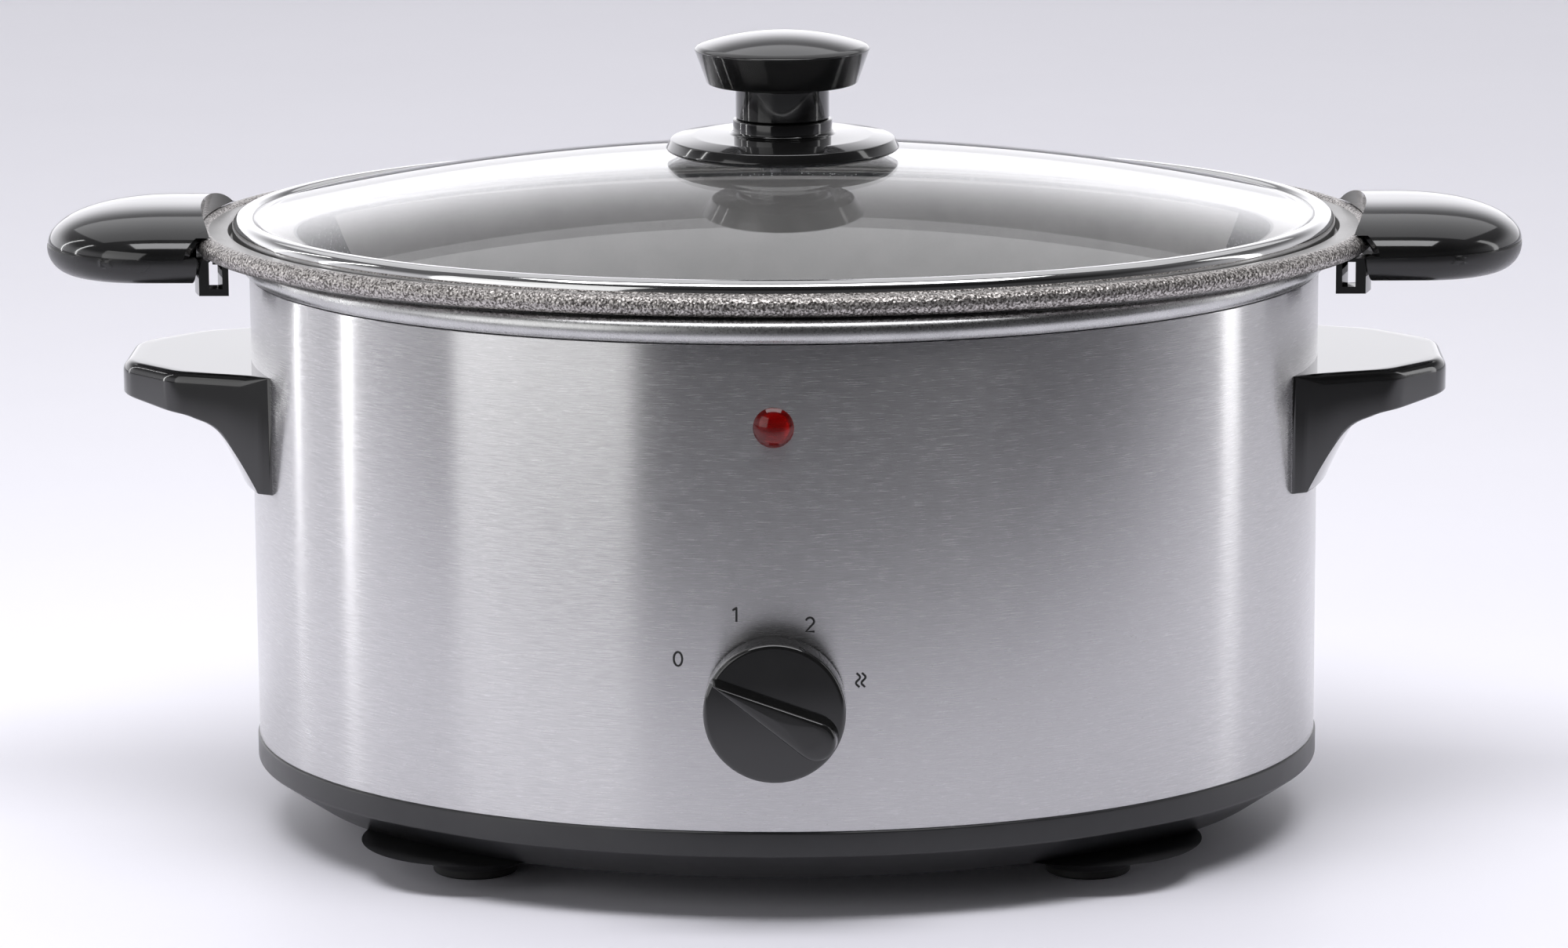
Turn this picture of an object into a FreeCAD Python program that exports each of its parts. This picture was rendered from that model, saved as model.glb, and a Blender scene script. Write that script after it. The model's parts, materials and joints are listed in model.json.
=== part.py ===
"""Oval slow cooker with a lift-out cooking pot, a glass lid and a front control dial.

Frame: millimetres, +Z up, floor at Z = 0, origin under the middle of the whole object.
+X runs along the long axis to the right, -Y faces the user. The dial stands out in front,
so the middle of the oval lies a little behind the origin, at Y = axis_y.
Every size lives in the spreadsheet "Sizes"; expressions name its cells by their plain words.
"""

import FreeCAD
import Part
import math
import os
import re
import Sketcher

VECTOR = FreeCAD.Vector
TURN_TO_FRONT = FreeCAD.Rotation(VECTOR(1, 0, 0), 90)
TURN_TO_BACK = FreeCAD.Rotation(VECTOR(1, 0, 0), -90)
TURN_TO_RIGHT = FreeCAD.Rotation(VECTOR(0, 1, 0), 90)
NO_TURN = FreeCAD.Rotation()

SIZES = [
    # outer housing, a straight-walled steel oval
    ("shell_half_x", "154.5"),
    ("shell_half_y", "126.35"),
    ("shell_wall", "0.6"),
    ("shell_low", "25.9"),
    ("shell_top", "162"),
    ("fit_gap", "0.3"),
    # base moulding, feet and the bolt that ties the base to the liner
    ("base_proud", "0.5"),
    ("base_wall", "2.4"),
    ("band_low", "19"),
    ("base_low", "9"),
    ("base_taper", "14"),
    ("base_upstand", "6"),
    ("foot_inset_x", "67.5"),
    ("foot_inset_y", "56.35"),
    ("foot_pad_radius", "12"),
    ("foot_pad_height", "3.4"),
    ("foot_plug_radius", "4"),
    ("foot_plug_height", "3.5"),
    ("blister_low_radius", "17"),
    ("blister_top_radius", "26"),
    ("blister_low", "2.6"),
    ("tie_radius", "2.5"),
    ("tie_head_radius", "4.6"),
    ("tie_head_height", "2.6"),
    ("tie_boss_radius", "7.5"),
    ("tie_boss_top", "24"),
    # inner liner with its rolled collar
    ("liner_inset_x", "8"),
    ("liner_inset_y", "7.95"),
    ("liner_wall", "1"),
    ("liner_low", "80"),
    ("collar_radius", "3.4"),
    ("collar_inset_x", "0.9"),
    ("collar_inset_y", "0.85"),
    ("bridge_width", "34"),
    ("bridge_length", "70"),
    ("bridge_drop", "9"),
    ("bridge_steel", "1.5"),
    # heater band, its straps and springs
    ("heater_low", "92"),
    ("heater_high", "124"),
    ("heater_thick", "2.2"),
    ("heater_gap", "24"),
    ("strap_thick", "0.5"),
    ("strap_width", "6"),
    ("strap_inset", "5"),
    ("tension_spring_radius", "1.5"),
    # thermal fuse under the liner
    ("fuse_x", "60"),
    ("fuse_y", "30"),
    ("fuse_radius", "2"),
    ("fuse_length", "11"),
    # cooking pot
    ("pot_wall", "1.6"),
    ("pot_floor", "3"),
    ("pot_low", "84"),
    ("pot_side_gap", "4"),
    ("pot_draft", "9"),
    ("pot_corner", "14"),
    ("ledge_rise", "8.9"),
    ("rim_over_x", "16.5"),
    ("rim_over_y", "1.55"),
    ("flange_x", "10.6"),
    ("flange_y", "5.95"),
    ("bead_radius", "2.9"),
    ("bead_drop", "2"),
    ("recess_depth", "3.5"),
    # lid
    ("lid_play_x", "1.2"),
    ("lid_play_y", "0.65"),
    ("lid_rim_width", "6.6"),
    ("lid_rim_tall", "7.2"),
    ("lid_rim_round", "2.6"),
    ("glass_edge_inset", "2.8"),
    ("glass_edge_drop", "1.4"),
    ("glass_rise", "17.6"),
    ("glass_thick", "4"),
    # lid knob
    ("skirt_radius", "33.8"),
    ("seat_thick", "0.6"),
    ("skirt_thick", "3"),
    ("stem_radius", "14.3"),
    ("neck_radius", "13.5"),
    ("stem_tall", "9.8"),
    ("neck_tall", "10.2"),
    ("cap_low_radius", "21.7"),
    ("cap_side", "9.3"),
    ("cap_radius", "25.3"),
    ("cap_crown", "5.5"),
    ("knob_bolt_radius", "2.5"),
    ("knob_bolt_head", "6.5"),
    ("insert_radius", "4.2"),
    ("insert_length", "13"),
    # control dial, its shaft and the rotary switch
    ("dial_height", "62"),
    ("dial_radius", "19.5"),
    ("dial_gap", "1"),
    ("dial_depth", "10"),
    ("dial_ridge", "6"),
    ("dial_wall", "2"),
    ("ridge_half", "6.4"),
    ("dial_pointer", "151"),
    ("shaft_radius", "3"),
    ("shaft_flat", "2.2"),
    ("shaft_clearance", "0.06"),
    ("shaft_in_dial", "9"),
    ("switch_width", "30"),
    ("switch_tall", "28"),
    ("switch_depth", "20"),
    ("switch_setback", "1.6"),
    ("rotor_radius", "10.5"),
    ("rotor_thick", "6"),
    ("case_wall", "2"),
    ("tab_wide", "5"),
    ("tab_thick", "0.8"),
    ("tab_long", "8"),
    ("tab_across", "7"),
    ("tab_up", "9"),
    ("screw_spread", "13"),
    ("screw_radius", "1.5"),
    ("screw_head_radius", "2.8"),
    ("screw_head_height", "0.8"),
    # indicator lamp
    ("lamp_drop", "22.7"),
    ("lens_radius", "5.6"),
    ("lens_bulge", "2.6"),
    ("lens_barrel", "4"),
    ("neon_radius", "1.9"),
    ("neon_length", "3.4"),
    # side handles
    ("handle_drop", "25"),
    ("handle_reach", "36.5"),
    ("handle_root_half", "48"),
    ("handle_tip_half", "33"),
    ("handle_end_round", "14"),
    ("handle_tall", "34"),
    ("handle_top_round", "4"),
    ("handle_screw_y", "24"),
    ("handle_screw_rise", "13"),
    ("handle_screw_radius", "2"),
    # pot grips and their release catches
    ("grip_overhang", "42"),
    ("grip_inward", "12"),
    ("grip_half", "36"),
    ("grip_end_round", "30"),
    ("grip_rise", "7.1"),
    ("grip_tall", "11.5"),
    ("grip_depth", "8"),
    ("grip_wall", "3"),
    ("grip_step", "0.3"),
    ("grip_arch", "4.6"),
    ("grip_bridge_thick", "2.4"),
    ("grip_low_inset", "0.4"),
    ("grip_top_round", "11"),
    ("grip_low_round", "7.5"),
    ("grip_lid_gap", "8.8"),
    ("catch_half", "13"),
    ("catch_thick", "2"),
    ("catch_sink", "0.6"),
    ("catch_tail", "31"),
    ("hook_inward", "8.4"),
    ("hook_drop", "3"),
    ("catch_hook_y", "26"),
    ("catch_hook_wide", "7"),
    ("pivot_out", "11"),
    ("pivot_rise", "2.8"),
    ("catch_pin_radius", "1.2"),
    ("spring_out", "27"),
    ("hook_leg", "2.8"),
    ("catch_play", "1.8"),
    ("catch_spring_radius", "2.4"),
    ("catch_spring_wire", "0.35"),
    ("grip_screw_out", "19"),
    # mains inlet at the back and the wiring
    ("inlet_height", "44"),
    ("inlet_bore", "3.6"),
    ("gland_radius", "6.2"),
    ("gland_flange", "9"),
    ("gland_proud", "3"),
    ("wire_radius", "0.9"),
    ("lead_radius", "0.45"),
    ("terminal_long", "36"),
    ("terminal_deep", "16"),
    ("terminal_tall", "14"),
    ("terminal_pitch", "11"),
    ("terminal_axis", "5"),
    ("terminal_bore", "2"),
    ("terminal_screw_radius", "1.75"),
]

# Sizes that follow others, so that a changed size carries what stands on it or around it.
FOLLOWING = {
    # half the difference between the front and the back of the object
    "axis_y": "(dial_gap + dial_depth + dial_ridge - gland_proud) / 2",
    "foot_x": "shell_half_x - foot_inset_x",
    "foot_y": "shell_half_y - foot_inset_y",
    "liner_half_x": "shell_half_x - liner_inset_x",
    "liner_half_y": "shell_half_y - liner_inset_y",
    "collar_half_x": "shell_half_x - collar_inset_x",
    "collar_half_y": "shell_half_y - collar_inset_y",
    "rim_half_x": "shell_half_x + rim_over_x",
    "rim_half_y": "shell_half_y + rim_over_y",
    "recess_half_x": "rim_half_x - flange_x",
    "recess_half_y": "rim_half_y - flange_y",
    "ledge_top": "shell_top + ledge_rise",
    "flange_top": "ledge_top + recess_depth",
    "bead_height": "flange_top - bead_drop",
    "lid_rim_half_x": "recess_half_x - lid_play_x",
    "lid_rim_half_y": "recess_half_y - lid_play_y",
    "lid_rim_low": "ledge_top + fit_gap",
    "lid_rim_top": "lid_rim_low + lid_rim_tall",
    "glass_edge_top": "lid_rim_top - glass_edge_drop",
    "skirt_low": "glass_edge_top + glass_rise + seat_thick",
    "stem_top": "skirt_low + stem_tall",
    "cap_low": "stem_top + neck_tall",
    "cap_edge": "cap_low + cap_side",
    "cap_top": "cap_edge + cap_crown",
    "lamp_height": "shell_top - lamp_drop",
    "handle_top": "shell_top - handle_drop",
    "handle_foot": "handle_top - handle_tall",
    "handle_screw_z": "handle_foot + handle_screw_rise",
    "grip_reach": "rim_half_x + grip_overhang",
    "grip_root": "rim_half_x - grip_inward",
    "grip_top": "flange_top + grip_rise",
    "grip_seam": "grip_top - grip_tall",
    "grip_low": "grip_seam - grip_depth",
    "grip_screw_x": "rim_half_x + grip_screw_out",
    "catch_low": "grip_low - catch_sink",
    "catch_end": "rim_half_x + catch_tail",
    "catch_hook_in": "rim_half_x - hook_inward",
    "catch_hook_low": "catch_low - hook_drop",
    "catch_pivot_x": "rim_half_x + pivot_out",
    "catch_pivot_z": "catch_low + pivot_rise",
    "catch_spring_x": "rim_half_x + spring_out",
}
ALIASES = {alias for alias, _ in SIZES}


def in_sheet(text):
    """Writes an expression's plain words as cells of the spreadsheet, or as the sizes they follow."""
    def cell(match):
        word = match.group()
        if word in FOLLOWING:
            return f"({in_sheet(FOLLOWING[word])})"
        return "Sizes." + word if word in ALIASES else word
    return re.sub(r"[a-z][a-z_]*[a-z]", cell, str(text))


doc = FreeCAD.newDocument("slow_cooker")
sizes = doc.addObject("Spreadsheet::Sheet", "Sizes")
for row, (alias, value) in enumerate(SIZES, start=1):
    sizes.set(f"A{row}", alias)
    sizes.set(f"B{row}", value)
    sizes.setAlias(f"B{row}", alias)
doc.recompute()


def size(text):
    """Value in millimetres of an expression over the sheet."""
    value = sizes.evalExpression(in_sheet(text))
    return float(getattr(value, "Value", value))


def bind(thing, **expressions):
    """Binds properties to expressions; two underscores stand for a dot."""
    for name, text in expressions.items():
        thing.setExpression(name.replace("__", "."), in_sheet(text))


def put(thing, x="0", y="0", z="0", turn=NO_TURN):
    """Places a thing with its point (x, y, z) counted from the middle of the oval."""
    thing.Placement = FreeCAD.Placement(VECTOR(size(x), size(f"({y}) + axis_y"), size(z)), turn)
    bind(thing, Placement__Base__x=x, Placement__Base__y=f"({y}) + axis_y", Placement__Base__z=z)
    return thing


# ---- plain solids -------------------------------------------------------------------------


def block(name, x, y, z, long, deep, tall):
    """A box from its lowest corner."""
    box = doc.addObject("Part::Box", name)
    bind(box, Length=long, Width=deep, Height=tall)
    return put(box, x, y, z)


def rod(name, radius, length, x="0", y="0", z="0", turn=NO_TURN):
    """A cylinder from the middle of its first end."""
    bar = doc.addObject("Part::Cylinder", name)
    bind(bar, Radius=radius, Height=length)
    return put(bar, x, y, z, turn)


def ellipse(name, half_x, half_y, z):
    """A flat ellipse at a height."""
    curve = doc.addObject("Part::Ellipse", name)
    bind(curve, MajorRadius=half_x, MinorRadius=half_y)
    return put(curve, z=z)


def raise_up(name, outline, height):
    """A prism that stands on a closed flat outline."""
    prism = doc.addObject("Part::Extrusion", name)
    prism.Base = outline
    prism.DirMode = "Custom"
    prism.Dir = VECTOR(0, 0, 1)
    prism.Solid = True
    bind(prism, LengthFwd=height)
    return prism


def oval(name, half_x, half_y, low, high):
    """An upright oval block between two heights."""
    return raise_up(name, ellipse(name + "_line", half_x, half_y, low), f"({high}) - ({low})")


def oval_stack(name, sections, ruled=True):
    """A solid through ovals (half x, half y, height), lowest first."""
    loft = doc.addObject("Part::Loft", name)
    loft.Sections = [ellipse(f"{name}_{i}", *section) for i, section in enumerate(sections)]
    loft.Solid = True
    loft.Ruled = ruled
    return loft


def oval_bead(name, radius, half_x, half_y, z):
    """A round bead carried once around an oval."""
    spine = ellipse(name + "_path", half_x, half_y, z)
    section = doc.addObject("Part::Circle", name + "_section")
    bind(section, Radius=radius)
    put(section, half_x, "0", z, TURN_TO_FRONT)
    bead = doc.addObject("Part::Sweep", name)
    bead.Sections = [section]
    bead.Spine = (spine, ["Edge1"])
    bead.Solid = True
    bead.Frenet = True
    return bead


def fuse(name, *pieces):
    """Several solids made one."""
    joined = doc.addObject("Part::MultiFuse", name)
    joined.Shapes = list(pieces)
    return joined


def cut(name, piece, *tools):
    """A solid less its tools."""
    less = doc.addObject("Part::Cut", name)
    less.Base = piece
    less.Tool = tools[0] if len(tools) == 1 else fuse(name + "_tools", *tools)
    return less


def common(name, *pieces):
    """What several solids share."""
    shared = doc.addObject("Part::MultiCommon", name)
    shared.Shapes = list(pieces)
    return shared


def group(name, pieces):
    """Identical loose pieces kept in one node."""
    several = doc.addObject("Part::Compound", name)
    several.Links = list(pieces)
    return several


def mirrored(name, piece):
    """The same piece on the left."""
    other = doc.addObject("Part::Mirroring", name)
    other.Source = piece
    other.Base = VECTOR(0, 0, 0)
    other.Normal = VECTOR(1, 0, 0)
    return other


def rounded(name, piece, radius, wanted):
    """A solid whose edges that pass the test are rounded."""
    doc.recompute()
    soft = doc.addObject("Part::Fillet", name)
    soft.Base = piece
    picked = [i for i, edge in enumerate(piece.Shape.Edges, start=1) if wanted(edge.BoundBox)]
    if not picked:
        raise RuntimeError(f"{name}: no edge to round")
    soft.Edges = [(i, size(radius), size(radius)) for i in picked]
    return soft


def flat_at(height, margin=0.01):
    """Test for edges that lie wholly at one height."""
    level = size(height)
    return lambda box: abs(box.ZMin - level) < margin and abs(box.ZMax - level) < margin


# ---- sketched solids ----------------------------------------------------------------------


def fix_point(sketch, geometry, end, x, y):
    """Ties a point's two coordinates to expressions."""
    for kind, text in (("DistanceX", x), ("DistanceY", y)):
        index = sketch.addConstraint(Sketcher.Constraint(kind, -1, 1, geometry, end, size(text)))
        sketch.setExpression(f"Constraints[{index}]", in_sheet(text))


def add_arc(sketch, first, middle, last, radius):
    """An arc with a bound radius; returns it and which of its ends lies at first and at last."""
    leftward = (middle - first).cross(last - middle).z > 0
    ends = (first, last) if leftward else (last, first)
    arc = sketch.addGeometry(Part.Arc(ends[0], middle, ends[1]))
    index = sketch.addConstraint(Sketcher.Constraint("Radius", arc, abs(size(radius))))
    sketch.setExpression(f"Constraints[{index}]", in_sheet(f"abs({radius})"))
    return (arc, 1, 2) if leftward else (arc, 2, 1)


def draw(sketch, outline, bows=None):
    """Draws a closed outline of corners (x, y) or (x, y, radius), where a radius rounds the corner.

    bows maps a corner's number to the radius of the side that starts there, when that side
    is an arc: a positive radius bows to the right of the way round.
    """
    bows = bows or {}
    count = len(outline)
    corners = [VECTOR(size(point[0]), size(point[1]), 0) for point in outline]
    before, after = [None] * count, [None] * count
    rounds = {}
    for i, point in enumerate(outline):
        before[i] = after[i] = corners[i]
        if len(point) == 3:
            back = (corners[i - 1] - corners[i]).normalize()
            ahead = (corners[(i + 1) % count] - corners[i]).normalize()
            half = back.getAngle(ahead) / 2
            radius = size(point[2])
            middle = corners[i] + (back + ahead).normalize() * (radius / math.sin(half) - radius)
            before[i] = corners[i] + back * (radius / math.tan(half))
            after[i] = corners[i] + ahead * (radius / math.tan(half))
            rounds[i] = add_arc(sketch, before[i], middle, after[i], point[2])
    sides = []
    for i in range(count):
        first, last = after[i], before[(i + 1) % count]
        if i in bows:
            radius = size(bows[i])
            chord = last - first
            right = VECTOR(chord.y, -chord.x, 0).normalize()
            rise = abs(radius) - math.sqrt(radius ** 2 - (chord.Length / 2) ** 2)
            middle = (first + last) / 2 + right * math.copysign(rise, radius)
            sides.append(add_arc(sketch, first, middle, last, bows[i]))
        else:
            sides.append((sketch.addGeometry(Part.LineSegment(first, last)), 1, 2))
    for i, point in enumerate(outline):
        came, went = sides[i - 1], sides[i]
        if i in rounds:
            turn = rounds[i]
            corner = sketch.addGeometry(Part.Point(corners[i]), True)
            fix_point(sketch, corner, 1, point[0], point[1])
            sketch.addConstraint(Sketcher.Constraint("PointOnObject", corner, 1, came[0]))
            sketch.addConstraint(Sketcher.Constraint("PointOnObject", corner, 1, went[0]))
            sketch.addConstraint(Sketcher.Constraint("Tangent", came[0], came[2], turn[0], turn[1]))
            sketch.addConstraint(Sketcher.Constraint("Tangent", turn[0], turn[2], went[0], went[1]))
        else:
            sketch.addConstraint(Sketcher.Constraint("Coincident", came[0], came[2], went[0], went[1]))
            fix_point(sketch, went[0], went[1], point[0], point[1])
    return sketch


def sketch_in(body, role, name):
    """An empty sketch on one of the body's own planes."""
    sketch = body.newObject("Sketcher::SketchObject", name)
    plane = [feature for feature in body.Origin.OriginFeatures if feature.Role == role][0]
    sketch.AttachmentSupport = (plane, [""])
    sketch.MapMode = "FlatFace"
    return sketch


def turned(name, outline, x="0", y="0", z="0", turn=NO_TURN, bows=None):
    """A body turned about its own Z axis from an outline of (radius, height) corners."""
    body = doc.addObject("PartDesign::Body", name)
    sketch = draw(sketch_in(body, "XZ_Plane", name + "_profile"), outline, bows)
    spin = body.newObject("PartDesign::Revolution", name + "_turned")
    spin.Profile = sketch
    spin.ReferenceAxis = (sketch, ["V_Axis"])
    spin.Angle = 360
    return put(body, x, y, z, turn)


def prism(name, outline, low, high, bows=None):
    """A prism over a plan outline between two heights."""
    sketch = doc.addObject("Sketcher::SketchObject", name + "_plan")
    put(draw(sketch, outline, bows), z=low)
    return raise_up(name, sketch, f"({high}) - ({low})")


def screw(name, radius, length, head_radius, head_height, x, y, z, turn):
    """A screw whose head ends at the given point and whose shank runs on along its axis."""
    outline = [
        ("0", f"-({head_height})"), (head_radius, f"-({head_height})"), (head_radius, "0"),
        (radius, "0"), (radius, length), ("0", length),
    ]
    return turned(name, outline, x, y, z, turn)


# ---- the base: housing, moulding, feet, liner ---------------------------------------------

front_y = "-shell_half_y"
inside_x = "shell_half_x - shell_wall"
inside_y = "shell_half_y - shell_wall"


def outer_housing():
    """Straight oval tube of steel with the holes for the lamp, shaft, screws and mains inlet."""
    outside = oval("housing_outside", "shell_half_x", "shell_half_y", "shell_low", "shell_top")
    hollow = oval("housing_hollow", inside_x, inside_y, "shell_low - 1", "shell_top + 1")
    through = "2 * dial_depth"
    start = f"{front_y} + dial_depth"
    holes = [
        rod("lamp_hole", "lens_barrel + 0.15", through, "0", start, "lamp_height", TURN_TO_FRONT),
        rod("shaft_hole", "shaft_radius + 1", through, "0", start, "dial_height", TURN_TO_FRONT),
        rod("inlet_hole", "gland_radius + 0.1", through, "0", "shell_half_y - dial_depth", "inlet_height",
            TURN_TO_BACK),
    ]
    for side in ("", "-"):
        holes.append(rod("switch_screw_hole" + side, "screw_radius + 0.2", through,
                         f"{side}screw_spread", start, "dial_height", TURN_TO_FRONT))
        holes.append(rod("handle_screw_hole" + side, "handle_screw_radius + 0.3", "3 * shell_half_x",
                         "-1.5 * shell_half_x", f"{side}handle_screw_y", "handle_screw_z", TURN_TO_RIGHT))
    return cut("outer_housing", outside, hollow, *holes)


def base_moulding():
    """Black tray: a band flush with the steel, a taper below it, four blisters and a bolt boss."""
    band_x, band_y = "shell_half_x + base_proud", "shell_half_y + base_proud"
    low_x, low_y = "shell_half_x - base_taper", "shell_half_y - base_taper"
    lip_x, lip_y = "shell_half_x - shell_wall - fit_gap", "shell_half_y - shell_wall - fit_gap"
    outside = oval_stack("base_outside", [
        (low_x, low_y, "base_low"), (band_x, band_y, "band_low"), (band_x, band_y, "shell_low")])
    upstand = oval("base_lip", lip_x, lip_y, "band_low", "shell_low + base_upstand")
    hollow = oval_stack("base_hollow", [
        (f"{low_x} - base_wall", f"{low_y} - base_wall", "base_low + base_wall"),
        (f"{lip_x} - base_wall", f"{lip_y} - base_wall", "band_low + base_wall"),
        (f"{lip_x} - base_wall", f"{lip_y} - base_wall", "shell_low + base_upstand + 1")])
    tray = cut("base_tray", fuse("base_solid", outside, upstand), hollow)
    added = [rod("tie_boss", "tie_boss_radius", "tie_boss_top - base_low", z="base_low")]
    removed = [
        rod("tie_hole", "tie_radius + 0.2", "tie_boss_top", z="0"),
        rod("tie_counterbore", "tie_head_radius + 0.4", "base_low + tie_head_height", z="0"),
    ]
    for across in ("foot_x", "-foot_x"):
        for along in ("foot_y", "-foot_y"):
            blister = doc.addObject("Part::Cone", "blister")
            bind(blister, Radius1="blister_low_radius", Radius2="blister_top_radius",
                 Height="base_low + base_wall - blister_low")
            added.append(put(blister, across, along, "blister_low"))
            removed.append(rod("foot_recess", "foot_plug_radius + 0.1", "foot_plug_height + 0.4",
                               across, along, "foot_pad_height - 0.2"))
            removed.append(rod("pad_recess", "foot_pad_radius + 0.2", "foot_pad_height",
                               across, along, "0"))
    return cut("base_moulding", fuse("base_body", tray, *added), *removed)


def rubber_feet():
    """Four turned rubber pads, each with a plug that holds it in its blister."""
    outline = [
        ("0", "0"), ("foot_pad_radius", "0", "0.8"), ("foot_pad_radius", "foot_pad_height"),
        ("foot_plug_radius", "foot_pad_height"),
        ("foot_plug_radius", "foot_pad_height + foot_plug_height"),
        ("0", "foot_pad_height + foot_plug_height"),
    ]
    return group("rubber_feet", [
        turned("foot", outline, across, along)
        for across in ("foot_x", "-foot_x") for along in ("foot_y", "-foot_y")])


def inner_liner():
    """Aluminised steel bowl that hangs on its rolled collar over the housing's top edge."""
    inner_x, inner_y = "liner_half_x - liner_wall", "liner_half_y - liner_wall"
    collar_top = "shell_top + 2 * collar_radius + 0.2"
    outside = oval("liner_outside", "liner_half_x", "liner_half_y", "liner_low", collar_top)
    brim = oval("liner_brim", "collar_half_x", "collar_half_y", f"{collar_top} - 2 * liner_wall", collar_top)
    collar = oval_bead("collar", "collar_radius", "collar_half_x", "collar_half_y",
                       "shell_top + collar_radius + 0.2")
    hollow = oval("liner_hollow", inner_x, inner_y, "liner_low + liner_wall", f"{collar_top} + 1")
    hole = rod("liner_stud_hole", "tie_radius", "3 * liner_wall", z="liner_low - liner_wall")
    return cut("inner_liner", fuse("liner_solid", outside, brim, collar), hollow, hole)


def liner_bridge():
    """Bent steel bridge under the liner that takes the long bolt from the base."""
    half = "bridge_length / 2"
    top = block("bridge_plate", f"-{half}", "-bridge_width / 2", "liner_low - bridge_drop",
                "bridge_length", "bridge_width", "bridge_steel")
    legs = [
        block("bridge_leg", x, "-bridge_width / 2", "liner_low - bridge_drop",
              "bridge_steel", "bridge_width", "bridge_drop")
        for x in (f"-{half}", f"{half} - bridge_steel")]
    feet = [
        block("bridge_foot", x, "-bridge_width / 2", "liner_low - bridge_steel",
              "bridge_drop", "bridge_width", "bridge_steel")
        for x in (f"-{half} - bridge_drop", half)]
    hole = rod("bridge_hole", "tie_radius + 0.1", "3 * bridge_steel",
               z="liner_low - bridge_drop - bridge_steel")
    return cut("liner_bridge", fuse("bridge_solid", top, *legs, *feet), hole)


def tie_bolt():
    """Long bolt that pulls the base moulding up against the housing."""
    bolt = screw("tie_bolt", "tie_radius", "liner_low - bridge_drop + 5 * bridge_steel - base_low - 1",
                 "tie_head_radius", "tie_head_height", "0", "0", "base_low + tie_head_height", NO_TURN)
    return bolt


def tie_nut():
    """Hexagon nut on top of the bridge."""
    nut = doc.addObject("Part::Prism", "tie_nut_blank")
    bind(nut, Circumradius="1.8 * tie_radius", Height="1.6 * tie_radius")
    put(nut, z="liner_low - bridge_drop + bridge_steel")
    bore = rod("tie_nut_bore", "tie_radius + 0.05", "4 * tie_radius", z="liner_low - bridge_drop")
    return cut("tie_nut", nut, bore)


# ---- heater -------------------------------------------------------------------------------


def open_ring(name, offset, thick, low, high, gap):
    """Oval ring around the liner, open at the back by a gap."""
    outside = oval(name + "_outside", f"liner_half_x + {offset} + {thick}",
                   f"liner_half_y + {offset} + {thick}", low, high)
    hollow = oval(name + "_hollow", f"liner_half_x + {offset}", f"liner_half_y + {offset}",
                  f"{low} - 1", f"{high} + 1")
    opening = block(name + "_opening", f"-({gap}) / 2", "liner_half_y / 2", f"{low} - 1",
                    gap, "liner_half_y", f"{high} - ({low}) + 2")
    return cut(name, outside, hollow, opening)


def heater_straps():
    """Two thin steel straps that press the heater band on the liner."""
    offset = "fit_gap / 3 + heater_thick + 0.05"
    return group("heater_straps", [
        open_ring("strap_low", offset, "strap_thick", "heater_low + strap_inset",
                  "heater_low + strap_inset + strap_width", "heater_gap"),
        open_ring("strap_high", offset, "strap_thick", "heater_high - strap_inset - strap_width",
                  "heater_high - strap_inset", "heater_gap")])


def strap_springs():
    """Tension springs that close the straps across the gap at the back."""
    springs = []
    middle = "strap_inset + strap_width / 2"
    for height in (f"heater_low + {middle}", f"heater_high - ({middle})"):
        coil = doc.addObject("Part::Helix", "strap_coil")
        bind(coil, Pitch="0.9", Height="heater_gap + 4", Radius="tension_spring_radius")
        springs.append(coiled("strap_spring", coil, "0.35", "-(heater_gap + 4) / 2",
                              "liner_half_y + heater_thick + strap_thick + tension_spring_radius + 0.65",
                              height, TURN_TO_RIGHT))
    return group("strap_springs", springs)


def coiled(name, helix, wire, x, y, z, turn):
    """A round wire carried along a helix, then set in its place."""
    doc.recompute()
    path = Part.Wire(helix.Shape.Edges)
    start = path.Edges[0].valueAt(path.Edges[0].FirstParameter)
    along = path.Edges[0].tangentAt(path.Edges[0].FirstParameter)
    section = Part.Wire(Part.makeCircle(size(wire), start, along))
    coil = doc.addObject("Part::Feature", name)
    coil.Shape = path.makePipeShell([section], True, True)
    return put(coil, x, y, z, turn)


def thermal_fuse():
    """Thermal fuse capsule held against the liner's floor by its clip."""
    return rod("thermal_fuse", "fuse_radius", "fuse_length", "-fuse_x - fuse_length / 2", "fuse_y",
               "liner_low - fuse_radius - fit_gap", TURN_TO_RIGHT)


def fuse_clip():
    """Steel saddle over the fuse, with a foot each side that is welded to the liner."""
    long, drop = "fuse_length / 2", "(2 * fuse_radius + fit_gap)"
    outside = block("fuse_saddle", f"-fuse_x - {long} / 2", "fuse_y - fuse_radius - bridge_steel",
                    f"liner_low - {drop} - bridge_steel", long, "2 * fuse_radius + 2 * bridge_steel",
                    f"{drop} + bridge_steel")
    feet = block("fuse_feet", f"-fuse_x - {long} / 2", "fuse_y - 3 * fuse_radius",
                 "liner_low - bridge_steel / 2", long, "6 * fuse_radius", "bridge_steel / 2")
    space = block("fuse_space", f"-fuse_x - {long}", "fuse_y - fuse_radius - fit_gap / 3",
                  f"liner_low - {drop}", "fuse_length", "2 * fuse_radius + 2 * fit_gap / 3",
                  f"{drop} + 1")
    return cut("fuse_clip", fuse("fuse_clip_solid", outside, feet), space)


# ---- dial, shaft and rotary switch --------------------------------------------------------

dial_face = f"{front_y} - dial_gap - dial_depth"
case_front = f"{front_y} + switch_setback"
case_back = f"{case_front} + switch_depth"


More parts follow.
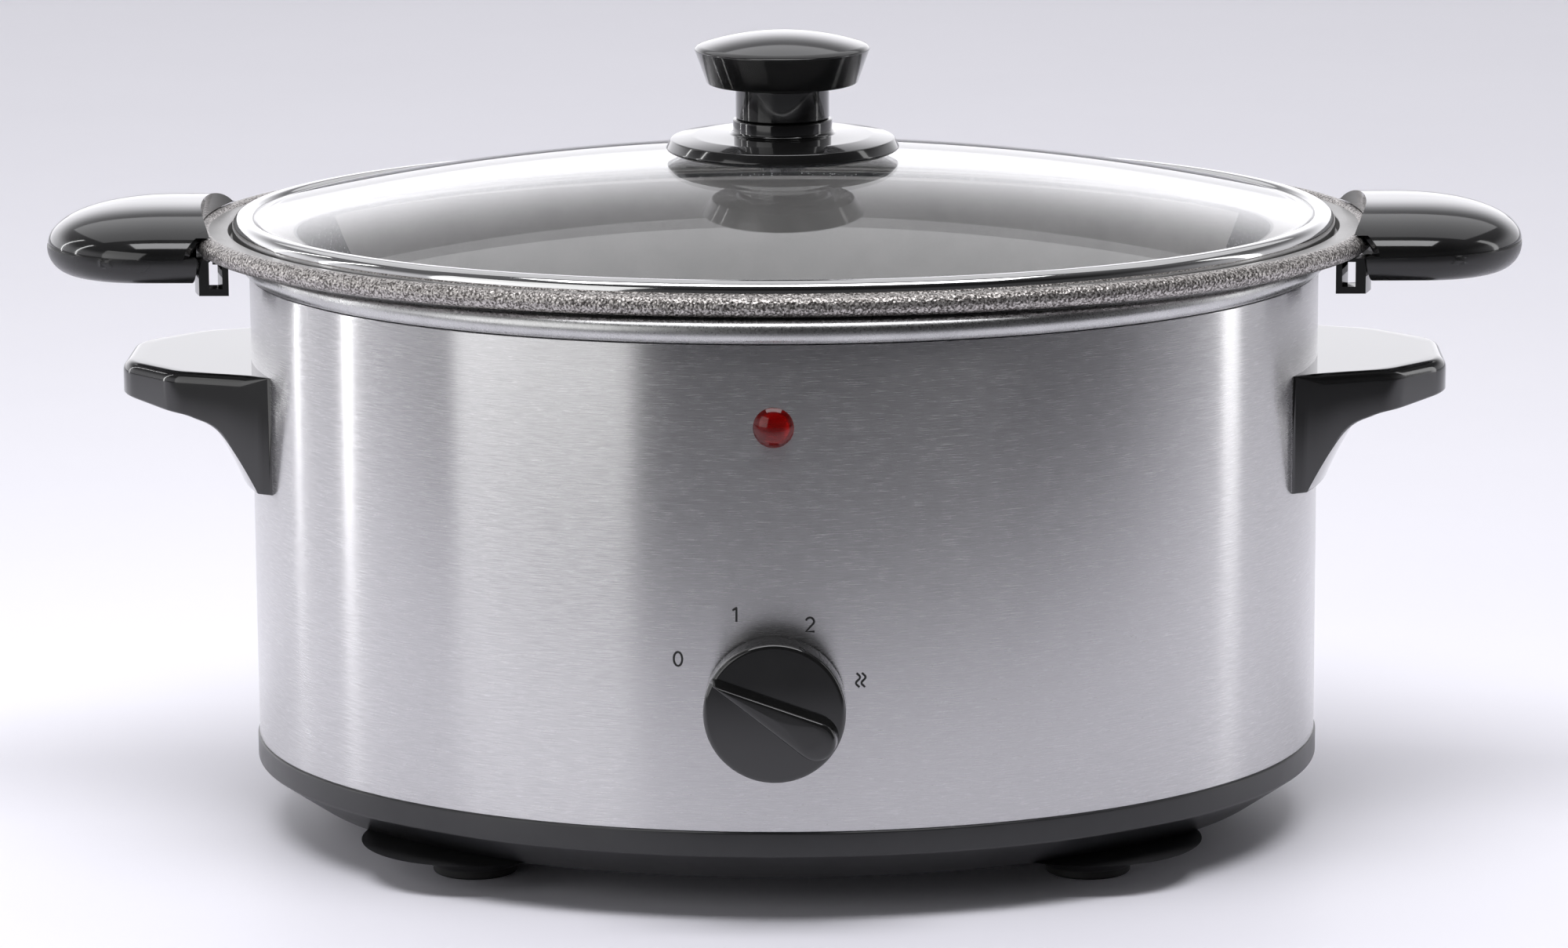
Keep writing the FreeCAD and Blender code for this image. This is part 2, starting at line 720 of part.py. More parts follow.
def control_dial():
    """Round dial with a hollow back, a D-bored hub and a raised teardrop pointer."""
    skirt = turned("dial_skirt", [
        ("0", "dial_depth - dial_wall"), ("dial_radius - dial_wall", "dial_depth - dial_wall"),
        ("dial_radius - dial_wall", "0"), ("dial_radius", "0"),
        ("dial_radius", "dial_depth", "1.2"), ("0", "dial_depth")],
        "0", f"{front_y} - dial_gap", "dial_height", TURN_TO_FRONT)
    hub = rod("dial_hub", "2 * shaft_radius", "dial_depth - 1", "0", f"{front_y} - dial_gap - 1",
              "dial_height", TURN_TO_FRONT)
    ridge = doc.addObject("PartDesign::Body", "dial_ridge")
    tip, back = "dial_radius - 0.6", "dial_radius - 5"
    plan = draw(sketch_in(ridge, "XY_Plane", "ridge_plan"), [
        (tip, "0.8"), (f"-({back})", "ridge_half", "0.8 * ridge_half"),
        (f"-({back})", "-ridge_half", "0.8 * ridge_half"), (tip, "-0.8")])
    pad = ridge.newObject("PartDesign::Pad", "ridge_pad")
    pad.Profile = plan
    bind(pad, Length="dial_ridge")
    pointing = FreeCAD.Rotation(VECTOR(0, 0, 1), size("dial_pointer"))
    put(ridge, "0", dial_face, "dial_height", TURN_TO_FRONT * pointing)
    bore = shaft_shape("dial_bore", "shaft_radius + shaft_clearance", "shaft_flat + shaft_clearance",
                       f"{front_y} + 1", "dial_gap + shaft_in_dial + 1.2")
    return cut("control_dial", fuse("dial_solid", skirt, hub, ridge), bore)


def shaft_shape(name, radius, flat, start, length):
    """Round bar along -Y with one flat on top."""
    bar = rod(name + "_round", radius, length, "0", start, "dial_height", TURN_TO_FRONT)
    above = block(name + "_flat", f"-2 * ({radius})", f"({start}) - ({length}) - 1", f"dial_height + {flat}",
                  f"4 * ({radius})", f"({length}) + 2", radius)
    return cut(name, bar, above)


def switch_shaft():
    """D-shaped shaft from the rotor inside the switch to the hub of the dial."""
    return shaft_shape("switch_shaft", "shaft_radius", "shaft_flat", f"{case_back} - case_wall - 1",
                       "switch_depth - case_wall - 1 - switch_setback + dial_gap + shaft_in_dial")


def switch_rotor():
    """Contact drum that the shaft turns inside the switch."""
    drum = rod("rotor_drum", "rotor_radius", "rotor_thick", "0", f"{case_back} - case_wall - 2",
               "dial_height", TURN_TO_FRONT)
    lug = block("rotor_lug", "-rotor_thick / 4", f"{case_back} - case_wall - 2 - rotor_thick - 1.6",
                "dial_height - rotor_radius", "rotor_thick / 2", "1.8", "rotor_radius / 2")
    bore = shaft_shape("rotor_bore", "shaft_radius", "shaft_flat", f"{case_back} + 1", "2 * rotor_thick + 6")
    return cut("switch_rotor", fuse("rotor_solid", drum, lug), bore)


def switch_case():
    """Moulded switch case, open at the back, with a bushing for the shaft."""
    half = "switch_width / 2"
    shell = block("case_block", f"-{half}", case_front, "dial_height - switch_tall / 2",
                  "switch_width", "switch_depth - case_wall", "switch_tall")
    cavity = rod("case_cavity", "rotor_radius + 1", "switch_depth", "0", f"{case_front} + case_wall",
                 "dial_height", TURN_TO_BACK)
    bore = rod("case_bore", "shaft_radius + shaft_clearance", "switch_depth", "0", f"{front_y} - 1",
               "dial_height", TURN_TO_BACK)
    threads = [
        rod("case_thread", "screw_radius + 0.02", "switch_depth / 2", f"{side}screw_spread", f"{front_y} - 1",
            "dial_height", TURN_TO_BACK) for side in ("", "-")]
    return cut("switch_case", shell, cavity, bore, *threads)


def switch_cover():
    """Back plate of the switch, pierced for its four terminal tabs."""
    half = "switch_width / 2"
    plate = block("cover_plate", f"-{half}", f"{case_back} - case_wall", "dial_height - switch_tall / 2",
                  "switch_width", "case_wall", "switch_tall")
    slots = [
        block("cover_slot", f"{x} - tab_wide / 2 - 0.1", f"{case_back} - 2 * case_wall",
              f"dial_height + {z} - tab_thick / 2 - 0.1", "tab_wide + 0.2", "3 * case_wall",
              "tab_thick + 0.2")
        for x, z in tab_places()]
    return cut("switch_cover", plate, *slots)


def tab_places():
    """Middle of each terminal tab, counted from the middle of the switch."""
    return [(x, z) for x in ("-tab_across", "tab_across") for z in ("-tab_up", "tab_up")]


def switch_tabs():
    """Four flat brass terminal tabs."""
    return group("switch_tabs", [
        block("switch_tab", f"{x} - tab_wide / 2", f"{case_back} - case_wall",
              f"dial_height + {z} - tab_thick / 2", "tab_wide", "case_wall + tab_long", "tab_thick")
        for x, z in tab_places()])


def switch_screws():
    """Two screws through the steel into the switch, hidden behind the dial."""
    return group("switch_screws", [
        screw("switch_screw", "screw_radius", "switch_depth / 3", "screw_head_radius", "screw_head_height",
              f"{side}screw_spread", front_y, "dial_height", TURN_TO_BACK) for side in ("", "-")])


# ---- indicator lamp -----------------------------------------------------------------------


def indicator_lens():
    """Red domed lens whose hollow barrel passes through the steel."""
    return turned("indicator_lens", [
        ("0", "lens_bulge"), ("0", "0.6 - lens_bulge"), ("neon_radius + 0.3", "0.6 - lens_bulge"),
        ("neon_radius + 0.3", "-neon_length - 1.8"), ("lens_barrel", "-neon_length - 1.8"),
        ("lens_barrel", "0"), ("lens_radius", "0")],
        "0", front_y, "lamp_height", TURN_TO_FRONT,
        {6: "(lens_radius^2 + lens_bulge^2) / (2 * lens_bulge)"})


def neon_lamp():
    """Small neon capsule in the barrel of the lens."""
    return turned("neon_lamp", [
        ("0", "-neon_length - 1.6"), ("neon_radius", "-neon_length - 1.6"),
        ("neon_radius", "-2.2", "neon_radius * 0.9"), ("0", "-2.2")],
        "0", front_y, "lamp_height", TURN_TO_FRONT)


def lamp_clip():
    """Push-on spring ring that holds the lens from inside."""
    ring = rod("clip_ring", "lens_barrel + 2.2", "0.5", "0", f"{front_y} + shell_wall + fit_gap / 2",
               "lamp_height", TURN_TO_BACK)
    hole = rod("clip_hole", "lens_barrel", "4", "0", f"{front_y} - 1", "lamp_height", TURN_TO_BACK)
    return cut("lamp_clip", ring, hole)


# ---- side handles -------------------------------------------------------------------------


def side_handle(side):
    """Carrying ledge whose underside sweeps down along the oval to the steel."""
    if side == "left":
        return mirrored("side_handle_left", doc.getObject("side_handle_right"))

    def offset(distance, height):
        return (f"shell_half_x + {distance}", f"shell_half_y + {distance}", height)
    bracket = oval_stack("handle_sweep", [
        offset("3.4", "handle_foot"), offset("7.9", "handle_top - 24"), offset("11.8", "handle_top - 17.5"),
        offset("19.2", "handle_top - 13"), offset("handle_reach", "handle_top - 10"),
        offset("handle_reach", "handle_top")])
    root, tip = "shell_half_x - 24", "shell_half_x + handle_reach"
    plan = prism("handle_outline", [
        (root, "-handle_root_half"), (f"{tip} - 16", "-handle_tip_half", "handle_end_round"),
        (tip, "-handle_tip_half / 2", "handle_end_round"), (tip, "handle_tip_half / 2", "handle_end_round"),
        (f"{tip} - 16", "handle_tip_half", "handle_end_round"), (root, "handle_root_half")],
        "handle_foot - 1", "handle_top + 1")
    steel = oval("handle_steel", "shell_half_x", "shell_half_y", "handle_foot - 2", "handle_top + 2")
    body = cut("handle_body", common("handle_block", bracket, plan), steel)
    soft = rounded("handle_soft", body, "handle_top_round",
                   lambda box: flat_at("handle_top")(box) and box.XMax > size("shell_half_x + 2"))
    threads = [
        rod("handle_thread", "handle_screw_radius + 0.02", "shell_half_x + 5", "0",
            f"{way}handle_screw_y", "handle_screw_z", TURN_TO_RIGHT) for way in ("", "-")]
    return cut("side_handle_right", soft, *threads)


def side_handle_screws():
    """Two screws a side, driven from inside the housing into the handles."""
    screws = []
    for way in ("", "-"):
        inner = ("sqrt(1 - (handle_screw_y / (shell_half_y - shell_wall))^2)"
                 " * (shell_half_x - shell_wall) - 3 * fit_gap")
        right = screw("handle_screw", "handle_screw_radius", "screw_head_height + 8",
                      "1.7 * handle_screw_radius", "0.7 * handle_screw_radius", inner,
                      f"{way}handle_screw_y", "handle_screw_z", TURN_TO_RIGHT)
        screws += [right, mirrored("handle_screw_left", right)]
    return group("side_handle_screws", screws)


# ---- cooking pot --------------------------------------------------------------------------

bead_x, bead_y = "rim_half_x - bead_radius", "rim_half_y - bead_radius"
well_x, well_y = "liner_half_x - liner_wall - pot_side_gap", "liner_half_y - liner_wall - pot_side_gap"


def cooking_pot():
    """Pressed pot: drafted well, a ledge for the lid, a flat flange and a rolled rim."""
    ledge_low = "ledge_top - pot_wall"
    well = oval_stack("pot_well", [
        (f"{well_x} - pot_draft", f"{well_y} - pot_draft", "pot_low"), (well_x, well_y, "ledge_top")])
    soft_well = rounded("pot_soft_well", well, "pot_corner", flat_at("pot_low"))
    step = oval("pot_step", "recess_half_x + pot_wall", "recess_half_y + pot_wall", ledge_low, "flange_top")
    flange = oval("pot_flange", bead_x, bead_y, "flange_top - pot_wall", "flange_top")
    bead = oval_bead("pot_bead", "bead_radius", bead_x, bead_y, "bead_height")
    inside = oval_stack("pot_inside", [
        (f"{well_x} - pot_draft - pot_wall", f"{well_y} - pot_draft - pot_wall", "pot_low + pot_floor"),
        (f"{well_x} - pot_wall", f"{well_y} - pot_wall", "ledge_top + 1")])
    soft_inside = rounded("pot_soft_inside", inside, "pot_corner - pot_floor",
                          flat_at("pot_low + pot_floor"))
    recess = oval("pot_recess", "recess_half_x", "recess_half_y", "ledge_top", "flange_top + 2 * bead_radius")
    return cut("cooking_pot", fuse("pot_solid", soft_well, step, flange, bead), soft_inside, recess)


# ---- clip-on grips ------------------------------------------------------------------------


def grip_plan(name, inset, low, high):
    """Plan of a grip, straight sides and a round outer end, shrunk by an inset."""
    half, reach = f"(grip_half - {inset})", f"(grip_reach - {inset})"
    return prism(name, [
        ("grip_root - 6", f"-{half}"), (reach, f"-{half}", f"grip_end_round - {inset}"),
        (reach, half, f"grip_end_round - {inset}"), ("grip_root - 6", half)], low, high)


def lid_side(name, low, high):
    """Space kept clear of the lid: an oval that runs round it at an even gap."""
    return oval(name, "lid_rim_half_x + grip_lid_gap", "lid_rim_half_y + grip_lid_gap", low, high)


def rim_oval(name, offset, low, high):
    """Upright oval block at an even distance outside the pot's rim."""
    return oval(name, f"rim_half_x + {offset}", f"rim_half_y + {offset}", low, high)


def grip_top(side):
    """Glossy upper shell, hollow, cut out around the lid and arched over the rim."""
    if side == "left":
        return mirrored("left_grip_top", doc.getObject("right_grip_top"))
    solid = rounded("grip_top_soft", grip_plan("grip_top_block", "0", "grip_seam", "grip_top"),
                    "grip_top_round", flat_at("grip_top"))
    hollow = grip_plan("grip_top_hollow", "grip_wall * 2", "grip_seam - 1", "grip_top - 1.5 * grip_wall")
    keep_wall = rim_oval("grip_wall_oval", "grip_arch + grip_wall", "grip_seam - 2", "grip_top")
    pillar = rod("grip_pillar", "screw_radius + 2.4", "grip_top - grip_seam - 2", "grip_screw_x", "0",
                 "grip_seam - grip_step")
    thread = rod("grip_thread", "screw_radius + 0.02", "grip_top - grip_seam - 4", "grip_screw_x", "0",
                 "grip_seam - 1")
    shell = cut("grip_top_shell", solid, cut("grip_top_space", hollow, keep_wall),
                rim_oval("grip_top_rim", "grip_arch", "grip_seam - 1", "bead_height + bead_radius + fit_gap"),
                lid_side("grip_top_lid", "grip_seam - 1", "grip_top + 1"))
    return cut("right_grip_top", fuse("grip_top_filled", shell, pillar), thread)


def grip_bottom(side):
    """Satin lower shell with a screw boss and a window for the catch."""
    if side == "left":
        return mirrored("left_grip_bottom", doc.getObject("right_grip_bottom"))
    solid = rounded("grip_low_soft", grip_plan("grip_low_block", "grip_low_inset", "grip_low", "grip_seam"),
                    "grip_low_round", flat_at("grip_low"))
    hollow = grip_plan("grip_low_hollow", "(1.5 * grip_wall + grip_low_inset)", "grip_low + grip_wall",
                       "grip_seam + 1")
    keep_wall = rim_oval("grip_low_oval", "catch_play + grip_wall", "grip_low - 2", "grip_seam + 2")
    rim = rim_oval("grip_low_rim", "catch_play", "grip_low - 1", "grip_seam + 1")
    window = block("grip_window", "grip_root", "-catch_half - fit_gap", "grip_low - 1",
                   "catch_end + 2 * fit_gap - grip_root", "2 * catch_half + 2 * fit_gap",
                   "grip_seam - grip_low + 2")
    ears = [
        block("pin_ear", "catch_pivot_x - 3", f"{y}", "grip_low + 1.2", "6", "grip_wall",
              "catch_pivot_z + 3 - grip_low - 1.2")
        for y in ("catch_half + fit_gap", "-catch_half - fit_gap - grip_wall")]
    hole = rod("grip_low_hole", "screw_radius + 0.2", "4 * screw_radius", "grip_screw_x", "0",
               "grip_seam - 3 * screw_radius")
    pin = rod("grip_pin_hole", "catch_pin_radius", "2 * catch_half + 2 * grip_wall + 2", "catch_pivot_x",
              "-catch_half - grip_wall - 1", "catch_pivot_z", TURN_TO_BACK)
    shell = cut("grip_low_shell", solid, cut("grip_low_space", hollow, keep_wall), rim, window)
    bridge = block("grip_bridge", "grip_screw_x - screw_radius - 2.4", "grip_wall / 2 - grip_half",
                   "grip_seam - grip_bridge_thick", "2 * screw_radius + 4.8", "2 * grip_half - grip_wall",
                   "grip_bridge_thick - grip_step")
    return cut("right_grip_bottom", fuse("grip_low_filled", shell, bridge, *ears), hole, pin)


def grip_screws():
    """One screw a side that holds the two shells of a grip together."""
    right = screw("grip_screw", "screw_radius", "grip_top - grip_seam - 4", "screw_head_radius",
                  "screw_head_height", "grip_screw_x", "0", "grip_seam - grip_bridge_thick", NO_TURN)
    return group("grip_screws", [right, mirrored("grip_screw_left", right)])


def catch_pins():
    """Steel pin a side on which the catch rocks."""
    right = rod("catch_pin", "catch_pin_radius", "2 * catch_half + 2 * grip_wall", "catch_pivot_x",
                "-catch_half - grip_wall", "catch_pivot_z", TURN_TO_BACK)
    return group("catch_pins", [right, mirrored("catch_pin_left", right)])


def catch(side):
    """Rocking catch: a thumb plate under the grip and two hooks that reach up behind the rim bead."""
    if side == "left":
        return mirrored("left_catch", doc.getObject("right_catch"))
    plate = block("catch_plate", "rim_half_x - hook_leg / 2", "-catch_half", "catch_low",
                  "catch_end - rim_half_x + hook_leg / 2", "2 * catch_half", "catch_thick")
    arm = cut("catch_arm", rim_band("arm_band", "-hook_leg", "0", "catch_low", "catch_low + catch_thick"),
              block("arm_beyond", "-2 * rim_half_x", "-2 * rim_half_y", "catch_low - 1",
                    "3 * rim_half_x - hook_leg - 15", "4 * rim_half_y", "catch_thick + 2"))
    span = block("catch_span", "catch_hook_in - 10", "-catch_hook_y - catch_hook_wide / 2",
                 "catch_hook_low - 1", "30", "2 * catch_hook_y + catch_hook_wide", "30")
    between = block("catch_between", "catch_hook_in - 11", "catch_hook_wide / 2 - catch_hook_y",
                    "catch_hook_low - 2", "32", "2 * catch_hook_y - catch_hook_wide", "32")
    hooks = cut("catch_hooks", common("catch_hook_span", hook_section(), span), between)
    barrel = rod("catch_barrel", "catch_pin_radius + 1.6", "2 * catch_half", "catch_pivot_x", "-catch_half",
                 "catch_pivot_z", TURN_TO_BACK)
    bore = rod("catch_bore", "catch_pin_radius + shaft_clearance", "3 * catch_half", "catch_pivot_x",
               "-1.5 * catch_half", "catch_pivot_z", TURN_TO_BACK)
    relief = rod("catch_relief", "screw_radius + 3", "20", "grip_screw_x", "0", "catch_low - 5")
    solid = fuse("catch_solid", common("catch_arms", arm, span), plate, barrel, hooks)
    return cut("right_catch", solid, bore, relief)


def rim_band(name, inner, outer, low, high):
    """Upright oval wall along the pot's rim, between two offsets from its outer edge."""
    return cut(name, rim_oval(name + "_outside", outer, low, high),
               rim_oval(name + "_inside", inner, f"{low} - 1", f"{high} + 1"))


def hook_section():
    """J-shaped wall along the rim: a leg outside, a web below and a lip behind the bead."""
    leg = rim_band("hook_leg_wall", "-hook_leg", "0", "catch_hook_low",
                   "bead_height - bead_radius - 3 * fit_gap")
    lip_inner = "(recess_half_x + pot_wall - rim_half_x) + 3 * fit_gap"
    web = rim_band("hook_web", lip_inner, "0", "catch_hook_low", "catch_hook_low + catch_thick")
    lip = rim_band("hook_lip", lip_inner, "-2 * bead_radius - 2 * fit_gap", "catch_hook_low",
                   "flange_top - pot_wall - 4 * fit_gap")
    return fuse("hook_ring", leg, web, lip)


def catch_spring(side):
    """Small coil spring that holds the thumb plate down."""
    if side == "left":
        return mirrored("left_catch_spring", doc.getObject("right_catch_spring"))
    coil = doc.addObject("Part::Helix", "catch_coil")
    room = "grip_top - 1.5 * grip_wall - catch_low - catch_thick"
    bind(coil, Pitch="4 * catch_spring_wire", Height=f"{room} - 4 * catch_spring_wire",
         Radius="catch_spring_radius")
    return coiled("right_catch_spring", coil, "catch_spring_wire", "catch_spring_x", "0",
                  "catch_low + catch_thick + 2 * catch_spring_wire", NO_TURN)


# ---- lid ----------------------------------------------------------------------------------

glass_x, glass_y = "(lid_rim_half_x - glass_edge_inset)", "(lid_rim_half_y - glass_edge_inset)"
glass_ball = f"(({glass_x}^2 + glass_rise^2) / (2 * glass_rise))"


def dome(name, inset, sink):
    """Cap of a squashed ball through six ovals, drawn in from the edge and sunk from the top."""
    sections = []
    for share in ("1", "0.93", "0.8", "0.6", "0.36", "0.12"):
        drop = f"{glass_ball} - sqrt({glass_ball}^2 - ({share} * {glass_x})^2)"
        sections.append((f"{share} * ({glass_x} - {inset})", f"{share} * ({glass_y} - {inset})",
                         f"glass_edge_top + glass_rise - {sink} - ({drop})"))
    return oval_stack(name, sections, ruled=False)


def lid_glass():
    """Domed oval glass of even thickness with a hole for the knob's bolt."""
    edge = oval("glass_edge", glass_x, glass_y, "glass_edge_top - glass_thick", "glass_edge_top")
    under = oval("glass_under", f"{glass_x} - glass_thick", f"{glass_y} - glass_thick",
                 "glass_edge_top - glass_thick - 1", "glass_edge_top - glass_thick")
    return cut("lid_glass", fuse("glass_solid", edge, dome("glass_outside", "0", "0")),
               under, dome("glass_inside", "glass_thick", "glass_thick"),
               rod("glass_hole", "knob_bolt_radius + 0.5", "glass_rise + 20", z="glass_edge_top - 10"))


def lid_rim():
    """Bright rolled band that grips the edge of the glass."""
    outside = oval("band_outside", "lid_rim_half_x", "lid_rim_half_y", "lid_rim_low", "lid_rim_top")
    soft = rounded("band_soft", outside, "lid_rim_round",
                   lambda box: flat_at("lid_rim_low")(box) or flat_at("lid_rim_top")(box))
    hollow = oval("band_hollow", "lid_rim_half_x - lid_rim_width", "lid_rim_half_y - lid_rim_width",
                  "lid_rim_low - 1", "lid_rim_top + 1")
    return cut("lid_rim", soft, hollow, doc.getObject("lid_glass"))


def knob_skirt():
    """Bevelled disc on the glass with the wider lower part of the stem."""
    return turned("knob_skirt", [
        ("knob_bolt_radius + 0.4", "skirt_low"), ("skirt_radius - 2", "skirt_low"),
        ("skirt_radius", "skirt_low + 1.2"),
        ("skirt_radius - 1.6", "skirt_low + skirt_thick"),
        ("stem_radius", "skirt_low + skirt_thick + 1.4", "2"), ("stem_radius", "stem_top"),
        ("insert_radius + 0.1", "stem_top"), ("insert_radius + 0.1", "skirt_low + 4"),
        ("knob_bolt_radius + 0.4", "skirt_low + 4")])


def knob_cap():
    """Flared cap with a domed top on the upper part of the stem."""
    return turned("knob_cap", [
        ("insert_radius", "stem_top"), ("neck_radius", "stem_top"), ("neck_radius", "cap_low"),
        ("cap_low_radius", "cap_low", "1"), ("cap_radius", "cap_edge"), ("0", "cap_top"),
        ("0", "skirt_low + 5 + insert_length"), ("insert_radius", "skirt_low + 5 + insert_length")],
        bows={4: "(cap_radius^2 + (cap_top - cap_edge)^2) / (2 * (cap_top - cap_edge))"})


def knob_insert():
    """Threaded brass insert that the knob's bolt screws into."""
    tube = rod("insert_outside", "insert_radius", "insert_length", z="skirt_low + 5")
    bore = rod("insert_bore", "knob_bolt_radius + 0.02", "insert_length + 2", z="skirt_low + 4")
    return cut("knob_insert", tube, bore)


def knob_seat():
    """Soft silicone washer between the glass and the skirt."""
    ring = rod("seat_ring", "stem_radius", "skirt_low - glass_edge_top - glass_rise + 0.3",
               z="glass_edge_top + glass_rise - 0.3")
    hole = rod("seat_hole", "knob_bolt_radius + 0.5", "10", z="glass_edge_top + glass_rise - 5")
    return cut("knob_seat", ring, hole, doc.getObject("lid_glass"))


def knob_washer():
    """Silicone washer under the bolt's head, against the inside of the glass."""
    top = "glass_edge_top + glass_rise - glass_thick"
    ring = rod("washer_ring", "knob_bolt_head + 2", "1.6", z=f"{top} - 1.5")
    hole = rod("washer_hole", "knob_bolt_radius + 0.5", "10", z=f"{top} - 5")
    return cut("knob_washer", ring, hole, doc.getObject("lid_glass"))


def knob_bolt():
    """Flat-headed bolt from inside the lid up into the knob."""
    return screw("knob_bolt", "knob_bolt_radius", "glass_thick + 3 + insert_length", "knob_bolt_head", "1.8",
                 "0", "0", "glass_edge_top + glass_rise - glass_thick - 1.5", NO_TURN)


# ---- mains inlet and wiring ---------------------------------------------------------------


def cord_gland():
    """Rubber bush in the back of the housing, with a bore for the mains lead."""
    bush = turned("gland_bush", [
        ("inlet_bore", "-7"), ("gland_radius", "-7"), ("gland_radius", "0"), ("gland_flange", "0"),
        ("gland_flange - 1", "gland_proud"), ("inlet_bore", "gland_proud")],
        "0", "shell_half_y", "inlet_height", TURN_TO_BACK)
    steel = oval("gland_steel", "shell_half_x", "shell_half_y", "inlet_height - 20", "inlet_height + 20")
    flange_only = cut("gland_front", steel, rod(
        "gland_stem", "gland_radius + 0.1", "30", "0", "shell_half_y - 15", "inlet_height", TURN_TO_BACK))
    return cut("cord_gland", bush, flange_only)


def gland_nut():
    """Ring nut that clamps the bush from inside."""
    inner = "shell_half_y - shell_wall"
    ring = rod("gland_ring", "gland_radius + 3", "3", "0", f"{inner} - 4", "inlet_height", TURN_TO_BACK)
    hole = rod("gland_ring_hole", "gland_radius", "9", "0", f"{inner} - 7", "inlet_height", TURN_TO_BACK)
    return cut("gland_nut", ring, hole)


terminal_y, terminal_z = "shell_half_y / 2", "base_low + base_wall + terminal_axis"
terminal_places = ("-terminal_pitch", "0", "terminal_pitch")


def terminal_block():
    """Three-way terminal block on the floor of the base, behind the switch."""
    body = block("terminal_body", "-terminal_long / 2", terminal_y, "base_low + base_wall", "terminal_long",
                 "terminal_deep", "terminal_tall")
    holes = [
        rod("terminal_hole", "terminal_bore", "terminal_deep + 4", x, f"{terminal_y} - 2", terminal_z,
            TURN_TO_BACK) for x in terminal_places]
    wells = [
        rod("terminal_well", "terminal_screw_radius + 0.05", "terminal_tall", x,
            f"{terminal_y} + terminal_deep / 2", terminal_z) for x in terminal_places]
    return cut("terminal_block", body, *holes, *wells)


def terminal_screws():
    """Clamp screws of the terminal block."""
    return group("terminal_screws", [
        rod("terminal_screw", "terminal_screw_radius", "6", x, f"{terminal_y} + terminal_deep / 2",
            f"{terminal_z} + 2.4") for x in terminal_places])


def wire(name, radius, route):
    """Insulated wire: straight runs joined by arcs as large as the runs beside them allow."""
    points = [VECTOR(size(x), size(f"({y}) + axis_y"), size(z)) for x, y, z in route]
    edges, start = [], points[0]
    for before, corner, after in zip(points, points[1:], points[2:]):
        back, ahead = (before - corner).normalize(), (after - corner).normalize()
        half = back.getAngle(ahead) / 2
        reach = 0.45 * min((before - corner).Length, (after - corner).Length)
        middle = corner + (back + ahead).normalize() * (reach * (1 - math.sin(half)) / math.cos(half))
        entry, leave = corner + back * reach, corner + ahead * reach
        edges += [Part.LineSegment(start, entry).toShape(), Part.Arc(entry, middle, leave).toShape()]
        start = leave
    edges.append(Part.LineSegment(start, points[-1]).toShape())
    section = Part.Wire(Part.makeCircle(size(radius), points[0], points[1] - points[0]))
    tube = doc.addObject("Part::Feature", name)
    tube.Shape = Part.Wire(edges).makePipeShell([section], True, False)
    return tube


tab_y, low_tab, high_tab = f"{case_back} + tab_long", "dial_height - tab_up", "dial_height + tab_up"
heater_y = "(liner_half_y + heater_thick / 2 + fit_gap / 3)"


def live_wire():
    """Mains terminal to the switch."""
    return wire("live_wire", "wire_radius", [
        ("-terminal_pitch", terminal_y, terminal_z), ("-terminal_pitch", "shell_half_y / 6", terminal_z),
        ("-13", "-shell_half_y / 3", "dial_height / 2"), ("-tab_across", f"{tab_y} + 24", low_tab),
        ("-tab_across", tab_y, low_tab)])


def heater_end(x):
    """Last points of a wire that rises behind the liner to the lower edge of the heater band."""
    along = f"{heater_y} * sqrt(1 - ({x} / liner_half_x)^2)"
    return [(x, f"{along} - 12", "dial_height - 4"), (x, f"{along} + 2", "liner_low - 8"),
            (x, along, "heater_low - 5"), (x, along, "heater_low")]


def low_heat_wire():
    """Switch to the end of the long heater winding."""
    return wire("low_heat_wire", "wire_radius", [
        ("tab_across", tab_y, low_tab), ("tab_across", f"{tab_y} + 20", low_tab),
        ("26", "-shell_half_y / 3", "dial_height / 2"),
        ("38", "shell_half_y / 3", "dial_height / 2")] + heater_end("30"))


def high_heat_wire():
    """Switch to the tap of the heater winding."""
    return wire("high_heat_wire", "wire_radius", [
        ("tab_across", tab_y, high_tab), ("tab_across", f"{tab_y} + 10", high_tab),
        ("12", f"{tab_y} + 26", "dial_height"),
        ("44", "-shell_half_y / 3", "dial_height * 0.7"), ("54", "shell_half_y / 3", "dial_height * 0.7")]
        + heater_end("44"))


def neutral_wire():
    """Mains terminal to the thermal fuse."""
    return wire("neutral_wire", "wire_radius", [
        ("0", terminal_y, terminal_z), ("-4", "shell_half_y / 3", terminal_z),
        ("-20", "fuse_y", "dial_height / 2"),
        ("-fuse_x / 2", "fuse_y", "liner_low - 3 * fuse_radius"),
        ("-fuse_x + fuse_length / 2 + 10", "fuse_y", "liner_low - fuse_radius - fit_gap"),
        ("-fuse_x + fuse_length / 2", "fuse_y", "liner_low - fuse_radius - fit_gap")])


def fuse_wire():
    """Thermal fuse to the common end of the heater winding."""
    return wire("fuse_wire", "wire_radius", [
        ("-fuse_x - fuse_length / 2", "fuse_y", "liner_low - fuse_radius - fit_gap"),
        ("-fuse_x - fuse_length", "fuse_y", "liner_low - fuse_radius - fit_gap"),
        ("-fuse_x - fuse_length", "2 * fuse_y", "dial_height")] + heater_end("-30"))


def earth_wire():
    """Earth terminal to the steel bridge under the liner."""
    return wire("earth_wire", "wire_radius", [
        ("terminal_pitch", terminal_y, terminal_z), ("terminal_pitch", "shell_half_y / 3", terminal_z),
        ("22", "bridge_width / 2", "dial_height / 2"), ("26", "0", "dial_height * 0.7"),
        ("26", "0", "liner_low - bridge_drop")])


